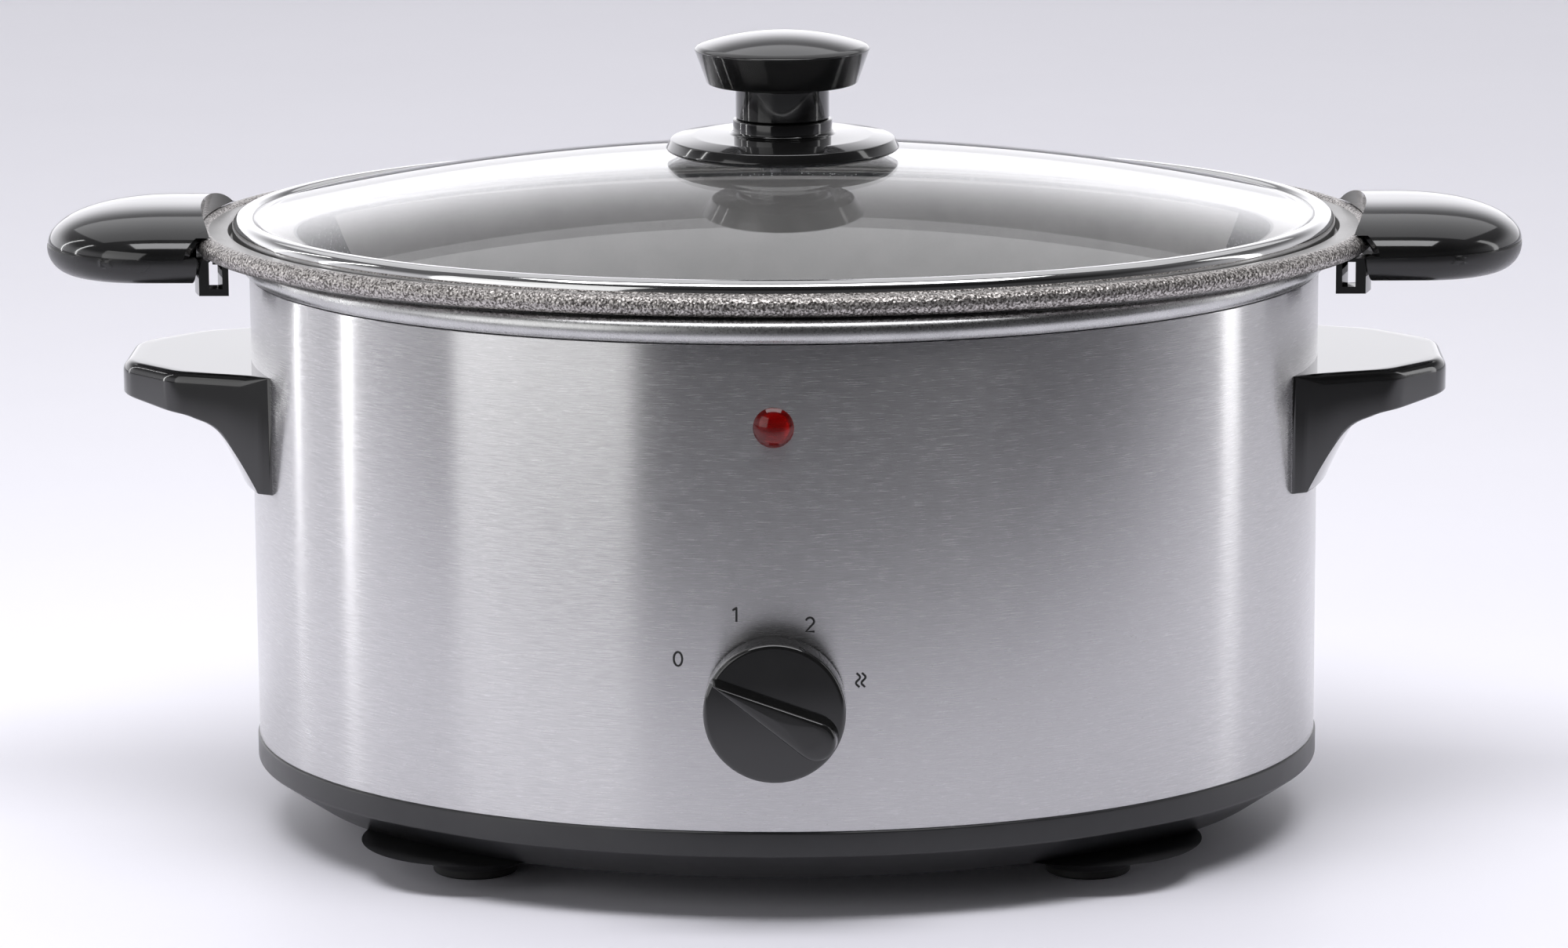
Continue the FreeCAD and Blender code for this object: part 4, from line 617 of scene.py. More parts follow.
@dataclass
class BaseTray:
    """Black moulded tray: a band, a crease, a taper and four wide foot blisters."""

    oval: Oval
    proud: float = 0.5 * MM
    band_low: float = 19.0 * MM
    taper: float = 14.0 * MM
    low: float = 9.0 * MM
    wall: float = 2.4 * MM
    upstand: float = 6.0 * MM
    foot_x: float = 87.0 * MM
    foot_y: float = 70.0 * MM
    foot_radius: float = 13.0 * MM
    blister_radius: float = 31.0 * MM
    blister_low: float = 2.6 * MM
    recess_top: float = 3.4 * MM

    def build(self, finishes: Finishes) -> None:
        """Builds the tray and its blisters as one piece."""
        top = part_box("outer_housing")[0].z
        inner = -0.9 * MM
        section = np.concatenate([
            [(-self.oval.half_y, self.low)],
            rounded_line([
                (-self.taper - 20 * MM, self.low, 0.0), (-self.taper, self.low, 3.0 * MM),
                (self.proud, self.band_low, 1.0 * MM), (self.proud, top, 0.6 * MM), (inner, top, 0.0),
                (inner, top + self.upstand, 0.4 * MM), (inner - self.wall, top + self.upstand, 0.4 * MM),
                (inner - self.wall, self.band_low + self.wall, 1.5 * MM),
                (-self.taper - self.wall, self.low + self.wall, 2.0 * MM),
                (-self.taper - 20 * MM, self.low + self.wall, 0.0)], steps=5),
            [(-self.oval.half_y, self.low + self.wall)],
        ])
        rows = self.oval.rows(section)
        rows[[0, -1], :2] = 0.0
        form = Form("base_tray").add(oval_grid(rows, self.oval.middle_y))
        for across in (-1, 1):
            for along in (-1, 1):
                form.add(self.blister() + np.array(
                    [across * self.foot_x, self.oval.middle_y + along * self.foot_y, 0.0]))
        form.make(Body.BASE, "base_black", [finishes.tray], ("base_moulding",))

    def blister(self) -> np.ndarray:
        """A foot blister: its radius grows as an S from the pad to the tray's floor, and its rim is closed."""
        t = np.linspace(0, 1, 14)
        flare = 3 * t ** 2 - 2 * t ** 3
        radius = self.foot_radius + 1.2 * MM * t + (self.blister_radius - self.foot_radius) * t ** 3
        height = self.blister_low + (self.low + 0.6 * MM - self.blister_low) * flare
        line = np.concatenate([
            [(0.0, self.recess_top), (self.foot_radius - 0.6 * MM, self.recess_top),
             (self.foot_radius - 0.6 * MM, self.blister_low)],
            np.stack([radius, height], -1), [(0.0, self.low + 1.2 * MM)]])
        return turned_grid(line, 72)


@dataclass
class LinerBowl:
    """Inner liner: a pressed bowl whose rim rolls out over the housing's top edge."""

    oval: Oval
    half_x: float = 146.5 * MM
    half_y: float = 118.4 * MM
    wall: float = 1.0 * MM
    low: float = 80.0 * MM
    roll: float = 3.4 * MM
    roll_x: float = 153.6 * MM
    roll_y: float = 125.5 * MM

    def build(self, finishes: Finishes) -> None:
        """Carries the bowl's section around: floor, wall, the roll's round and back down inside."""
        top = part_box("inner_liner")[1].z
        roll = arc(0.0, top - self.roll, self.roll, 200.0, 450.0, 24)
        corner = rounded_line([(0.0, self.low, 0.0), (1.0, self.low, 4.0 * MM), (1.0, top, 0.0)], steps=5)[1:-1]
        inner = rounded_line([
            (1.0, top, 0.0), (1.0, self.low + self.wall, 4.0 * MM), (0.0, self.low + self.wall, 0.0)],
            steps=5)[1:-1]

        def wall_rows(points: np.ndarray, thick: float) -> np.ndarray:
            """Rows on the bowl's own wall, from points whose x is counted from 1 at the wall."""
            inset = points[:, 0] - 1.0 - thick
            return np.stack([self.half_x + inset, self.half_y + inset, points[:, 1]], -1)

        rows = np.concatenate([
            [(0.0, 0.0, self.low)], wall_rows(corner, 0.0), [(self.half_x, self.half_y, top - 2 * self.roll)],
            np.stack([self.roll_x + roll[:, 0], self.roll_y + roll[:, 0], roll[:, 1]], -1),
            [(self.half_x + 0.5 * MM, self.half_y + 0.5 * MM, top),
             (self.half_x - self.wall, self.half_y - self.wall, top - 1.5 * MM)],
            wall_rows(inner, self.wall), [(0.0, 0.0, self.low + self.wall)],
        ])
        slots = np.zeros(len(rows) - 1, int)
        slots[len(corner) + 2:len(corner) + 2 + len(roll) + 1] = 1
        Form("liner_bowl").add(oval_grid(rows, self.oval.middle_y), slots=slots).make(
            Body.BASE, "liner_steel", [finishes.liner, finishes.collar], ("inner_liner",))


@dataclass
class CookingPot:
    """Pressed pot: drafted well with soft corners, a ledge for the lid, a flange and a rolled rim."""

    oval: Oval
    well_x: float = 141.5 * MM
    well_y: float = 113.4 * MM
    draft: float = 9.0 * MM
    low: float = 84.0 * MM
    wall: float = 1.6 * MM
    floor: float = 3.0 * MM
    corner: float = 14.0 * MM
    ledge: float = 170.9 * MM
    flange_top: float = 174.4 * MM
    recess_x: float = 160.4 * MM
    recess_y: float = 121.95 * MM
    bead: float = 2.9 * MM
    bead_x: float = 168.1 * MM
    bead_y: float = 125.0 * MM
    bead_z: float = 172.4 * MM

    def build(self, finishes: Finishes) -> None:
        """Carries the pot's section around: outer well, step, bead, flange, ledge and inner well."""
        def well(bottom: float, inset: float, corner: float) -> np.ndarray:
            """Rows of a well from its middle to the ledge."""
            line = rounded_line([
                (-60 * MM, bottom, 0.0), (-self.draft, bottom, corner), (0.0, self.ledge, 0.0)], steps=10)
            rows = np.stack([self.well_x - inset + line[:, 0], self.well_y - inset + line[:, 0], line[:, 1]], -1)
            return np.concatenate([[(0.0, 0.0, bottom)], rows])

        def around(x: float, y: float, points: list[tuple[float, float]] | np.ndarray) -> np.ndarray:
            """Rows offset from an oval with the halves x and y."""
            points = np.asarray(points, float)
            return np.stack([x + points[:, 0], y + points[:, 0], points[:, 1]], -1)

        meet = math.degrees(math.asin((self.flange_top - self.bead_z) / self.bead))
        under = math.degrees(math.asin((self.flange_top - self.wall - self.bead_z) / self.bead))
        outer = well(self.low, 0.0, self.corner)[:-1]
        step = around(self.recess_x + self.wall, self.recess_y + self.wall, rounded_line([
            (-20.6 * MM, self.ledge - self.wall, 0.0), (0.0, self.ledge - self.wall, 1.5 * MM),
            (0.0, self.flange_top - self.wall, 0.0)], steps=4))
        bead = around(self.bead_x, self.bead_y, arc(0.0, self.bead_z, self.bead, 180.0 - under, 540.0 - meet, 30))
        lip = around(self.recess_x, self.recess_y, rounded_line([
            (2.0 * MM, self.flange_top, 0.0), (0.0, self.flange_top, 0.5 * MM), (0.0, self.ledge, 0.6 * MM),
            (-8.0 * MM, self.ledge, 0.0)], steps=4)[1:])
        ledge_in = around(self.well_x - self.wall, self.well_y - self.wall, [
            (1.2 * MM, self.ledge), (0.3 * MM, self.ledge - 0.3 * MM)])
        inner = well(self.low + self.floor, self.wall, self.corner - self.floor)[::-1][1:]
        rows = np.concatenate([outer, step, bead, lip, ledge_in, inner])
        slots = np.full(len(rows) - 1, 0)
        first_bead = len(outer) + len(step)
        slots[:first_bead] = 2
        slots[first_bead:first_bead + len(bead) - 1] = 1
        slots[first_bead + len(bead) - 1:first_bead + len(bead) + len(lip)] = 2
        Form("pot_shell").add(oval_grid(rows, self.oval.middle_y, 320), slots=slots).make(
            Body.POT, "pot_coat", [finishes.coat, finishes.rim, finishes.flange], ("cooking_pot",))


@dataclass
class Lid:
    """Domed glass with a bright rolled band round its edge."""

    oval: Oval
    band_x: float = 159.2 * MM
    band_y: float = 121.3 * MM
    band_wide: float = 6.6 * MM
    band_low: float = 171.2 * MM
    band_top: float = 178.4 * MM
    lip_drop: float = 3.2 * MM
    lip_wide: float = 1.6 * MM
    edge_inset: float = 2.8 * MM
    edge_top: float = 177.0 * MM
    rise: float = 17.6 * MM
    thick: float = 4.0 * MM
    hole: float = 3.6 * MM

    def build(self, finishes: Finishes) -> None:
        """Builds the glass and the band."""
        half_x, half_y = self.band_x - self.edge_inset, self.band_y - self.edge_inset
        outer = self.cap(half_x, half_y, self.edge_top)
        inner = self.cap(half_x - self.thick, half_y - self.thick, self.edge_top - self.thick)
        edge = np.array([(half_x, half_y, self.edge_top - self.thick)])
        rows = np.concatenate([outer, edge, inner[::-1]])
        Form("glass_dome").add(oval_grid(rows, self.oval.middle_y, 320), loop=True).make(
            Body.LID, "glass", [finishes.glass], ("lid_glass",))
        section = rounded_line([
            (0.0, self.band_low, 1.2 * MM), (0.0, self.band_top, 3.2 * MM),
            (-self.band_wide, self.band_top, 2.4 * MM),
            (-self.band_wide, self.band_top - self.lip_drop, 0.3 * MM),
            (-self.band_wide + self.lip_wide, self.band_top - self.lip_drop, 0.2 * MM),
            (-self.band_wide + self.lip_wide, self.band_low, 0.3 * MM)], closed=True, steps=8)
        rows = np.stack([self.band_x + section[:, 0], self.band_y + section[:, 0], section[:, 1]], -1)
        Form("lid_band").add(oval_grid(rows, self.oval.middle_y, 360), loop=True).make(
            Body.LID, "chrome", [finishes.chrome], ("lid_rim",))

    def cap(self, half_x: float, half_y: float, edge: float) -> np.ndarray:
        """Rows of a squashed ball's cap, from its hole to its edge.

        A ball of radius R = (a^2 + h^2) / 2h through the edge falls R - sqrt(R^2 - x^2) below its top at x.
        """
        ball = (half_x ** 2 + self.rise ** 2) / (2 * self.rise)
        share = np.linspace(self.hole / half_x, 1.0, 48)
        fall = ball - np.sqrt(ball ** 2 - (share * half_x) ** 2)
        return np.stack([share * half_x, share * half_y, edge + self.rise - fall], -1)


@dataclass
class Knob:
    """Lid knob: a bevelled skirt on the glass, a two-part stem and a flared cap."""

    oval: Oval
    skirt_radius: float = 33.8 * MM
    skirt_low: float = 195.2 * MM
    stem_radius: float = 14.3 * MM
    neck_radius: float = 13.5 * MM
    stem_top: float = 205.0 * MM
    cap_low: float = 215.2 * MM
    cap_low_radius: float = 21.7 * MM
    cap_radius: float = 25.3 * MM
    cap_edge: float = 225.7 * MM
    cap_top: float = 230.0 * MM
    bore: float = 2.9 * MM

    def build(self, finishes: Finishes) -> None:
        """Turns the skirt and the cap."""
        middle = np.array([0.0, self.oval.middle_y, 0.0])
        low, out = self.skirt_low, self.skirt_radius
        skirt = rounded_line([
            (self.bore, low, 0.0), (out - 2.4 * MM, low, 1.0 * MM), (out, low + 1.1 * MM, 0.6 * MM),
            (out - 1.5 * MM, low + 4.0 * MM, 0.7 * MM), (out - 8.0 * MM, low + 5.0 * MM, 9.0 * MM),
            (self.stem_radius + 0.6 * MM, low + 5.4 * MM, 1.4 * MM), (self.stem_radius, low + 6.4 * MM, 0.4 * MM),
            (self.stem_radius, self.stem_top - 0.1 * MM, 0.5 * MM), (self.bore, self.stem_top - 0.1 * MM, 0.0)], steps=7)
        Form("skirt_disc").add(turned_grid(skirt, 160) + middle, loop=True).make(
            Body.LID, "black_gloss", [finishes.gloss], ("knob_skirt",))
        rise = self.cap_top - self.cap_edge
        ball = (self.cap_radius ** 2 + rise ** 2) / (2 * rise)
        spread = math.degrees(math.asin(self.cap_radius / ball))
        crown = arc(0.0, self.cap_top - ball, ball, 90.0 - spread * 0.965, 90.0, 24)
        side = rounded_line([
            (0.0, self.stem_top, 0.0), (self.neck_radius, self.stem_top, 0.5 * MM),
            (self.neck_radius, self.cap_low, 1.5 * MM),
            (self.cap_low_radius, self.cap_low, 0.9 * MM), (self.cap_radius, self.cap_edge - 0.5 * MM, 0.5 * MM),
            (float(crown[0][0]), float(crown[0][1]), 0.0)], steps=6)
        Form("cap_button").add(turned_grid(np.concatenate([side, crown]), 160) + middle).make(
            Body.LID, "black_gloss", [finishes.gloss], ("knob_cap",))


@dataclass
class Dial:
    """Round dial with a raised teardrop pointer, its tip turned to the first mark."""

    oval: Oval
    height: float = 62.0 * MM
    radius: float = 19.5 * MM
    gap: float = 1.0 * MM
    depth: float = 10.0 * MM
    shaft: float = 3.2 * MM
    ridge: float = 6.0 * MM
    turn: float = 151.0
    tip_reach: float = 18.9 * MM
    tip_radius: float = 0.9 * MM
    heel_reach: float = 13.0 * MM
    heel_radius: float = 6.2 * MM

    def build(self, finishes: Finishes) -> None:
        """Turns the disc and sets the pointer on it."""
        back = self.oval.middle_y - self.oval.half_y - self.gap
        disc = rounded_line([
            (self.shaft, 0.0, 0.0), (self.radius, 0.0, 0.3 * MM), (self.radius, self.depth, 1.3 * MM),
            (0.0, self.depth, 0.0)], steps=6)
        rows = np.concatenate([[(0.0, 1.0 * MM), (self.shaft, 1.0 * MM)], disc])
        form = Form("dial_knob").add(stood_forward(turned_grid(rows, 144), back, self.height))
        form.add(stood_forward(self.pointer(), back, self.height))
        form.make(Body.DIAL, "black_gloss", [finishes.gloss], ("control_dial",), 44.0)

    def teardrop(self, inset: float, columns: int = 120) -> np.ndarray:
        """Outline round two circles on one line and the two straight runs that touch both.

        With radii R and r and a distance d between the middles, the runs leave both circles at the
        angle acos((R - r) / d) from the line.
        """
        small = max(self.tip_radius - inset, 0.12 * MM)
        large = self.heel_radius - inset
        tip = self.tip_reach - max(0.0, inset - self.tip_radius) * 2.2
        touch = math.degrees(math.acos((large - small) / (tip + self.heel_reach)))
        line = np.concatenate([
            arc(tip, 0.0, small, -touch, touch, 10), arc(-self.heel_reach, 0.0, large, touch, 360.0 - touch, 40),
            arc(tip, 0.0, small, -touch, -touch + 0.01, 1)])
        return even_line(line, columns + 1)[:-1]

    def pointer(self) -> np.ndarray:
        """The raised pointer: teardrops set in row by row up a steep wall, over an edge and across the top."""
        base, top = self.depth - 0.5 * MM, self.depth + self.ridge
        edge = arc(1.9 * MM, top - 1.3 * MM, 1.2 * MM, 180.0, 90.0, 6)
        levels = [(0.0, base), (0.05 * MM, self.depth + 0.2 * MM), *map(tuple, edge)]
        rings = []
        for inset, height in levels:
            line = self.teardrop(inset)
            rings.append(np.column_stack([line, np.full(len(line), height)]))
        spine = self.teardrop(levels[-1][0])
        middle = np.array([-2.0 * MM, 0.0])
        for share in (0.75, 0.5, 0.25, 0.0):
            line = middle + (spine - middle) * share
            rings.append(np.column_stack([line, np.full(len(line), top - 0.1 * MM * share)]))
        foot = rings[0].copy()
        foot[:, :2] = middle
        grid = np.stack([foot, *rings])
        turn = math.radians(self.turn)
        spun = grid[..., :2] @ np.array([[math.cos(turn), math.sin(turn)], [-math.sin(turn), math.cos(turn)]])
        return np.concatenate([spun, grid[..., 2:]], -1)


@dataclass
class Marks:
    """Printed marks round the dial, thin bars that lie on the steel."""

    oval: Oval
    height: float = 62.0 * MM
    stroke: float = 0.58 * MM
    proud: float = 0.05 * MM

    def build(self, finishes: Finishes) -> None:
        """Lays out the off mark, two heat marks and the keep-warm waves round the dial."""
        form = Form("dial_marks")
        t = np.radians(np.linspace(0, 360, 33))
        nought = np.stack([1.15 * np.sin(t), 1.95 * np.cos(t)], -1)
        one = rounded_line([(-0.85, 1.25, 0.0), (0.25, 1.95, 0.05), (0.25, -1.95, 0.0)])
        two = np.concatenate([arc(0.0, 0.85, 1.1, 165.0, -28.0, 14), [(-1.1, -1.95), (1.25, -1.95)]])
        s = np.linspace(-1, 1, 25)
        wave = np.stack([0.55 * np.sin(s * np.pi * 1.25), 2.0 * s], -1)
        for (x, z), lines in (((-26.6, 12.5), [nought]), ((-10.7, 25.2), [one]), ((9.6, 22.5), [two]),
                              ((23.4, 6.6), [wave - (0.75, 0.0), wave + (0.75, 0.0)])):
            for line in lines:
                form.add(self.bar((line + (x, z)) * MM), loop=False)
        form.make(Body.BASE, "black_satin", [finishes.ink], (), 60.0)

    def bar(self, line: np.ndarray) -> np.ndarray:
        """A flat bar along a line on the steel, its ends closed.

        The line's normal spreads it by half a stroke each way, and the oval's own curve sets its depth.
        """
        along = np.gradient(line, axis=0)
        along /= np.linalg.norm(along, axis=1)[:, None]
        across = np.stack([along[:, 1], -along[:, 0]], -1) * self.stroke / 2
        left, right = line + across, line - across
        rings = []
        for edge, lift in ((left, -self.proud), (left, self.proud), (right, self.proud), (right, -self.proud)):
            x, z = edge[:, 0], self.height + edge[:, 1]
            rings.append(np.stack([x, self.oval.front(x) - lift, z], -1))
        grid = np.stack(rings, 1)
        ends = [np.repeat(grid[i].mean(0)[None, None], 4, 1) for i in (0, -1)]
        return np.concatenate([ends[0], grid, ends[1]])


@dataclass
class Lamp:
    """Domed red lens of the indicator lamp."""

    oval: Oval
    height: float = 139.3 * MM
    radius: float = 5.6 * MM
    bulge: float = 2.6 * MM
    barrel: float = 4.0 * MM
    length: float = 5.2 * MM
    seat: float = 0.02 * MM
    bore: float = 2.2 * MM
    bore_end: float = 2.0 * MM

    def build(self, finishes: Finishes) -> None:
        """Turns the dome, its rim and the hollow barrel behind it."""
        ball = (self.radius ** 2 + self.bulge ** 2) / (2 * self.bulge)
        spread = math.degrees(math.asin(self.radius / ball))
        dome = arc(0.0, self.bulge - ball, ball, 90.0, 90.0 - spread, 14)
        rows = np.concatenate([dome, [
            (self.radius, self.seat), (self.barrel, self.seat), (self.barrel, -self.length),
            (self.bore, -self.length), (self.bore, -self.bore_end), (0.0, -self.bore_end)]])
        front = self.oval.middle_y - self.oval.half_y
        Form("lamp_lens").add(stood_forward(turned_grid(rows, 72), front, self.height)).make(
            Body.BASE, "lens_red", [finishes.lens], ("indicator_lens",))


@dataclass
class SideHandle:
    """Carrying handle: a level ledge whose underside sweeps down along the oval to its foot."""

    oval: Oval
    side: Side
    top: float = 137.0 * MM
    foot: float = 103.0 * MM
    reach: float = 36.5 * MM
    root_half: float = 48.0 * MM
    tip_half: float = 33.0 * MM
    end_round: float = 14.0 * MM
    top_round: float = 3.2 * MM
    low_round: float = 0.8 * MM

    def outline(self) -> tuple[np.ndarray, np.ndarray]:
        """Plan of the handle, from where its front leaves the steel to where its back meets it.

        Returns:
            Evenly spread outline points, and the points of the steel's oval that face them.
        """
        a, b = self.oval.half_x, self.oval.half_y
        out = a + self.reach
        line = rounded_line([
            (a - 24 * MM, -self.root_half, 0.0), (out - 16 * MM, -self.tip_half, self.end_round),
            (out, -self.tip_half / 2, self.end_round), (out, self.tip_half / 2, self.end_round),
            (out - 16 * MM, self.tip_half, self.end_round), (a - 24 * MM, self.root_half, 0.0)], steps=12)
        line = even_line(line, 1200)
        line = line[(line[:, 0] / a) ** 2 + (line[:, 1] / b) ** 2 >= 1.0]
        angle = np.arcsin(line[[0, -1], 1] / b)
        line[[0, -1]] = np.stack([a * np.cos(angle), b * np.sin(angle)], -1)
        line = even_line(line, 150)
        angles = np.linspace(angle[0], angle[1], 150)
        return line, np.stack([a * np.cos(angles), b * np.sin(angles)], -1)

    def build(self, finishes: Finishes) -> None:
        """Builds the handle as section rows over its outline.

        Row by row, a point goes from the steel out to the edge along the top, down the side, and back in
        under the ledge, where its height is a smooth curve of how far the oval must grow to reach it.
        """
        outer, inner = self.outline()
        reach = np.linalg.norm(outer - inner, axis=1)
        knots = np.array([3.2, 5.2, 7.9, 11.8, 19.2, 28.0, 36.6]) * MM
        lows = self.top - np.array([34.0, 29.5, 24.0, 17.5, 13.1, 11.3, 9.8]) * MM

        def under(plan: np.ndarray) -> np.ndarray:
            """Height of the underside over plan points."""
            out = offset_from(plan[..., 0], plan[..., 1], self.oval.half_x, self.oval.half_y)
            return smooth_curve(out, knots, lows)

        span = np.maximum(reach, 1e-9)
        rows = []
        for share in np.linspace(0.0, 1.0, 10)[:-1]:
            rows.append((share * np.maximum(reach - self.top_round, 0) / span, self.top))
        soft = np.minimum(self.top_round, reach * 0.45)
        for angle in np.radians(np.linspace(90, 0, 8)):
            share = 1.0 - (soft - soft * math.cos(angle)) / span
            rows.append((share, self.top - soft + soft * math.sin(angle)))
        edge_low = under(outer)
        small = np.minimum(self.low_round, reach * 0.2)
        for angle in np.radians(np.linspace(0, -90, 5)):
            share = 1.0 - (small - small * math.cos(angle)) / span
            rows.append((share, edge_low + small + small * math.sin(angle)))
        for share in 1.0 - np.linspace(0.0, 1.0, 40)[1:] ** 0.8:
            rows.append((share * (1 - small / span), None))
        grid = []
        for share, height in rows:
            plan = inner + (outer - inner) * share[:, None]
            level = under(plan) if height is None else np.broadcast_to(height, reach.shape)
            grid.append(np.column_stack([plan, level]))
        grid = np.stack(grid)
        grid[:, [0, -1], :2] = inner[[0, -1]][None]
        grid[..., 0] *= self.side.value
        grid[..., 1] += self.oval.middle_y
        Form(f"{self.side.word}_ledge").add(grid, around=False, loop=True).make(
            Body.BASE, "black_gloss", [finishes.gloss], (f"side_handle_{self.side.word}",))


@dataclass
class Grip:
    """Clip-on grip's upper shell: half a pebble cut out along the lid and arched over the rim."""

    oval: Oval
    side: Side
    half: float = 36.0 * MM
    end_round: float = 35.0 * MM
    lid_x: float = 168.0 * MM
    lid_y: float = 130.1 * MM
    rim_x: float = 171.0 * MM
    rim_y: float = 127.9 * MM
    over_rim: float = 175.6 * MM
    arch: float = 4.6 * MM
    arch_round: float = 1.6 * MM
    wall: float = 2.4 * MM
    belly: float = 2.5
    columns: int = 260

    def build(self, finishes: Finishes) -> None:
        """Builds the shell as section rows over its plan.

        The top's height over the seam is rise (1 - d^belly)^(1/2), where d runs from 0 well inside to 1 on
        the outline. Where the arch lifts the lower edge, the outline draws in to the d of that height.
        """
        low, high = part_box(f"{self.side.word}_grip_top")
        seam, rise, reach = low.z, high.z - low.z, max(abs(low.x), abs(high.x))
        outer = self.outline(reach)
        near = offset_from(outer[:, 0], outer[:, 1], self.rim_x, self.rim_y)
        turn = np.clip((self.arch + self.arch_round - near) / self.arch_round, 0.0, 1.0)
        edge = seam + (self.over_rim - seam) * np.where(near < self.arch, 1.0, 1.0 - np.sqrt(1.0 - turn ** 2))
        share = (1.0 - ((edge - seam) / rise) ** 2) ** (1.0 / self.belly)
        outer[:, 1] *= share
        ends = np.arcsin(outer[[0, -1], 1] / self.lid_y)
        bend = np.linspace(ends[0], ends[1], self.columns)
        inner = np.stack([self.lid_x * np.cos(bend), self.lid_y * np.sin(bend)], -1)
        outer[[0, -1]] = inner[[0, -1]]
        span = np.linalg.norm(outer - inner, axis=1)
        thin = np.minimum(self.wall, span * 0.25)
        step = (outer - inner) * (thin / np.maximum(span, 1e-9))[:, None]

        def top(plan: np.ndarray) -> np.ndarray:
            """Height of the pebble over plan points."""
            d = 1.0 - np.clip(self.inset(plan, reach) / self.half, 0.0, 1.0)
            return seam + rise * np.sqrt(np.clip(1.0 - d ** self.belly, 0.0, 1.0))

        slowing = np.sin(np.linspace(0, np.pi / 2, 30))[1:]
        steps = np.concatenate([np.linspace(0, 0.55, 16), 0.55 + 0.45 * slowing])
        rows = [(inner + (outer - inner) * step_share, None) for step_share in steps[:-1]]
        rows += [(outer, edge), (outer - step, edge)]
        thick = 1.4 * self.wall
        over_rim = np.full(self.columns, self.over_rim)
        rows += [(outer - step, np.maximum(top(outer - step) - thick, edge)),
                 (inner + step, np.maximum(top(inner + step) - thick, self.over_rim)),
                 (inner + step, over_rim), (inner, over_rim)]
        grid = np.stack([np.column_stack([plan, np.maximum(top(plan), edge) if height is None else height])
                         for plan, height in rows])
        grid[:, [0, -1]] = np.column_stack([inner[[0, -1]], edge[[0, -1]]])[None]
        grid[..., 0] *= self.side.value
        grid[..., 1] += self.oval.middle_y
        Form(f"{self.side.word}_grip_shell").add(grid, around=False, loop=True).make(
            Body.POT, "black_gloss", [finishes.gloss], (f"{self.side.word}_grip_top",), 32.0)
        softened(f"{self.side.word}_grip_tray", f"{self.side.word}_grip_bottom", Body.POT,
                 finishes.satin)

    def outline(self, reach: float) -> np.ndarray:
        """Plan outline from the lid's front side round the outer end to its back side."""
        start = self.lid_x * math.sqrt(1 - (self.half / self.lid_y) ** 2)
        line = rounded_line([
            (start, -self.half, 0.0), (reach, -self.half, self.end_round), (reach, self.half, self.end_round),
            (start, self.half, 0.0)], steps=60)
        return even_line(line, self.columns)

    def inset(self, plan: np.ndarray, reach: float) -> np.ndarray:
        """Distance in from the outline: to the straight sides, or to the rounded end."""
        x, y = plan[..., 0], np.abs(plan[..., 1])
        corner = self.end_round - np.hypot(np.maximum(x - (reach - self.end_round), 0),
                                           np.maximum(y - (self.half - self.end_round), 0))
        return np.clip(np.minimum(np.minimum(self.half - y, reach - x), corner), 0, None)


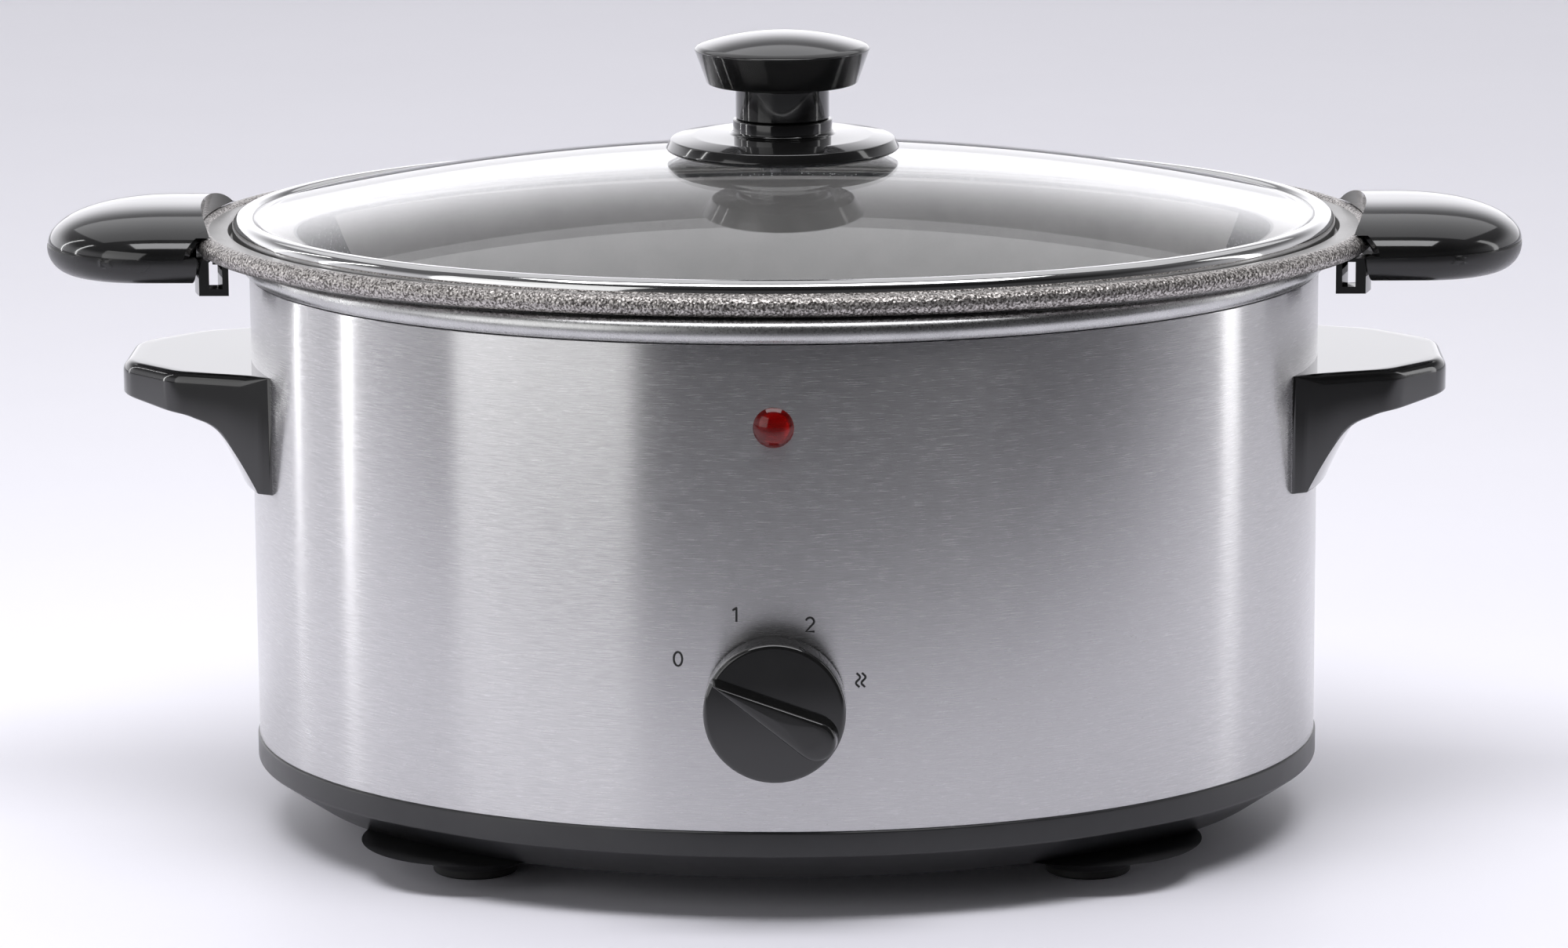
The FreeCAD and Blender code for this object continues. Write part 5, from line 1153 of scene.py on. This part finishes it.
@dataclass
@dataclass(frozen=True)
class Studio:
    """Pale floor with painted shade darkening it towards the front, soft lamps and the camera.

    A lamp whose name ends in _wash lights the floor but is not seen in reflections.
    """

    lens: float = 147.87
    sensor: float = 36.0
    azimuth: float = 1.368
    elevation: float = 11.846
    roll: float = -0.366
    distance: float = 1.878
    target: tuple[float, float, float] = (-0.000235, 0.0071, 0.1)
    # Y limits of the floor's painted shade: dark grey in front of the first, fully pale behind the second.
    painted_shade_from: float = -0.54
    pale_from: float = -0.17

    def build(self) -> None:
        """Builds the floor, the light and the camera."""
        self.floor()
        self.sky()
        for name, place, aim, size, power, tint in (
                ("key_box", (-1.36, -1.41, 0.72), (-0.05, -0.05, 0.12), (1.36, 1.5), 7.5, (1.0, 1.0, 1.0)),
                ("back_panel", (0.0, 1.5, 2.3), (0, 0.9, 0.0), (4.0, 2.6), 22.0, (0.98, 0.98, 1.0)),
                ("top_box", (0.0, -0.40, 1.4), (0, -0.25, 0.0), (1.4, 0.5), 9.0, (0.98, 0.98, 1.0)),
                ("back_wash", (0.0, 1.5, 2.3), (0, 0.9, 0.0), (4.0, 2.6), 38.0, (0.98, 0.98, 1.0)),
                ("front_wash", (0.0, -0.40, 1.4), (0, -0.25, 0.0), (1.4, 0.5), 11.0, (0.98, 0.98, 1.0)),
                ("left_strip", (-1.6, 0.05, 0.5), (0, 0, 0.12), (0.05, 1.6), 2.2, (1.0, 1.0, 1.0)),
                ("left_thin_strip", (-1.5, 0.64, 0.5), (0, 0, 0.12), (0.03, 1.6), 1.6, (1.0, 1.0, 1.0)),
                ("right_strip", (1.6, 0.20, 0.5), (0, 0, 0.12), (0.18, 1.6), 2.0, (1.0, 1.0, 1.0))):
            self.lamp(name, Vector(place), Vector(aim), size, power, tint)
        self.camera()

    def floor(self) -> None:
        """A wide round floor: rings of growing radius, closed at the middle, with painted shade darkening its
        colour towards the front.
        """
        radius = np.array([0.0, 0.3, 0.8, 2.0, 5.0, 12.0])
        points = turned_grid(np.stack([radius, np.zeros(6)], -1), 96).reshape(-1, 3)
        index = np.arange(6 * 96).reshape(6, 96)
        index = np.concatenate([index, index[:, :1]], 1)
        faces = np.stack([index[:-1, :-1], index[1:, :-1], index[1:, 1:], index[:-1, 1:]], -1).reshape(-1, 4)
        mesh = bpy.data.meshes.new("floor")
        mesh.from_pydata(points.tolist(), [], faces.tolist())
        weld(mesh)
        tree = Tree("floor_with_painted_shade")
        deep = tree.add("ShaderNodeSeparateXYZ", {"Vector": tree.place}).outputs["Y"]
        # Painted shade: the floor's colour fades from pale to dark grey towards the front, standing in for a dark
        # room that the steel and dial reflect.
        front = tree.add("ShaderNodeMapRange", {
            "Value": deep, "From Min": self.painted_shade_from, "From Max": self.pale_from,
            "To Min": 0.0, "To Max": 1.0},
            interpolation_type="SMOOTHSTEP").outputs["Result"]
        pale = tree.blend(tree.noise((6.0,) * 3), (0.83, 0.82, 0.88), (0.86, 0.85, 0.91))
        # The dark grey here is painted shade on the front floor; the pale blend is the floor's own colour.
        tree.set(tree.shader, {"Base Color": tree.blend(front, (0.17, 0.17, 0.18), pale), "Roughness": 0.5})
        mesh.materials.append(tree.material)
        floor = bpy.data.objects.new("floor", mesh)
        bpy.context.scene.collection.objects.link(floor)

    def sky(self) -> None:
        """Room light: bright low down behind the cooker and on its left, dark in front and overhead."""
        world = bpy.data.worlds.new("room")
        bpy.context.scene.world = world
        world.use_nodes = True
        nodes, links = world.node_tree.nodes, world.node_tree.links
        way = nodes.new("ShaderNodeVectorMath")
        way.operation = "DOT_PRODUCT"
        way.inputs[1].default_value = (-0.35, 1.0, 0.0)
        links.new(nodes.new("ShaderNodeTexCoord").outputs["Generated"], way.inputs[0])
        share = nodes.new("ShaderNodeMapRange")
        share.inputs["From Min"].default_value, share.inputs["From Max"].default_value = -1.1, 1.1
        links.new(way.outputs["Value"], share.inputs["Value"])
        tone = nodes.new("ShaderNodeValToRGB")
        stops = ((0.05, 0.06), (0.16, 0.08), (0.30, 0.34), (0.39, 0.62), (0.50, 0.76), (0.74, 0.9), (0.92, 1.6))
        ramp = tone.color_ramp
        while len(ramp.elements) < len(stops):
            ramp.elements.new(0.5)
        for element, (place, level) in zip(ramp.elements, stops):
            element.position = place
            element.color = (level * 0.985, level * 0.98, level * 1.02, 1.0)
        links.new(share.outputs["Result"], tone.inputs["Fac"])
        height = nodes.new("ShaderNodeSeparateXYZ")
        links.new(way.inputs[0].links[0].from_socket, height.inputs["Vector"])
        fall = nodes.new("ShaderNodeMapRange")
        fall.interpolation_type = "SMOOTHSTEP"
        for key, value in (("From Min", 0.20), ("From Max", 0.52), ("To Min", 1.0), ("To Max", 0.2)):
            fall.inputs[key].default_value = value
        links.new(height.outputs["Z"], fall.inputs["Value"])
        links.new(tone.outputs["Color"], nodes["Background"].inputs["Color"])
        links.new(fall.outputs["Result"], nodes["Background"].inputs["Strength"])

    def lamp(self, name: str, place: Vector, aim: Vector, size: tuple[float, float], power: float,
             tint: tuple[float, float, float]) -> None:
        """A soft box at a place, turned to a point."""
        data = bpy.data.lights.new(name, "AREA")
        data.shape = "RECTANGLE"
        data.size, data.size_y = size
        data.energy = power
        data.color = tint
        box = bpy.data.objects.new(name, data)
        box.visible_glossy = not name.endswith("_wash")
        box.location = place
        box.rotation_euler = (aim - place).to_track_quat("-Z", "Y").to_euler()
        bpy.context.scene.collection.objects.link(box)

    def camera(self) -> None:
        """Camera a little to the right of the front and above it, with a long lens."""
        data = bpy.data.cameras.new("camera")
        data.sensor_width, data.lens = self.sensor, self.lens
        azimuth, elevation, roll = (math.radians(turn) for turn in (self.azimuth, self.elevation, self.roll))
        back = Vector((math.sin(azimuth) * math.cos(elevation), -math.cos(azimuth) * math.cos(elevation),
                       math.sin(elevation)))
        level = Vector((math.cos(azimuth), math.sin(azimuth), 0.0))
        up = back.cross(level)
        right = level * math.cos(roll) + up * math.sin(roll)
        camera = bpy.data.objects.new("camera", data)
        camera.matrix_world = Matrix.Translation(Vector(self.target) + back * self.distance) @ Matrix(
            (right, back.cross(right), back)).transposed().to_4x4()
        bpy.context.scene.collection.objects.link(camera)
        bpy.context.scene.camera = camera


def dress_nodes(frame: dict, finishes: Finishes) -> None:
    """Gives every node of the frame that stays the material of its slot."""
    slots = {part["node"]: part["material_slot"] for part in frame["record"]["subparts"]}
    for name, node in frame["nodes"].items():
        node.data.materials.clear()
        node.data.materials.append(finishes.for_slot(slots[name]))


def main() -> None:
    """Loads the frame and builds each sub-assembly in order."""
    logging.basicConfig(level=logging.INFO, format="%(name)s: %(message)s")
    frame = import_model()
    bpy.context.scene.view_settings.view_transform = "Standard"
    finishes = Finishes()
    dress_nodes(frame, finishes)
    oval = Oval.read()
    parts = [Housing(oval), BaseTray(oval), LinerBowl(oval), CookingPot(oval), Lid(oval), Knob(oval), Dial(oval),
             Marks(oval), Lamp(oval)]
    parts += [kind(oval, side) for side in Side for kind in (SideHandle, Grip)]
    for part in parts:
        part.build(finishes)
        LOG.info("%s built", type(part).__name__)
    Studio().build()


if __name__ == "__main__":
    main()
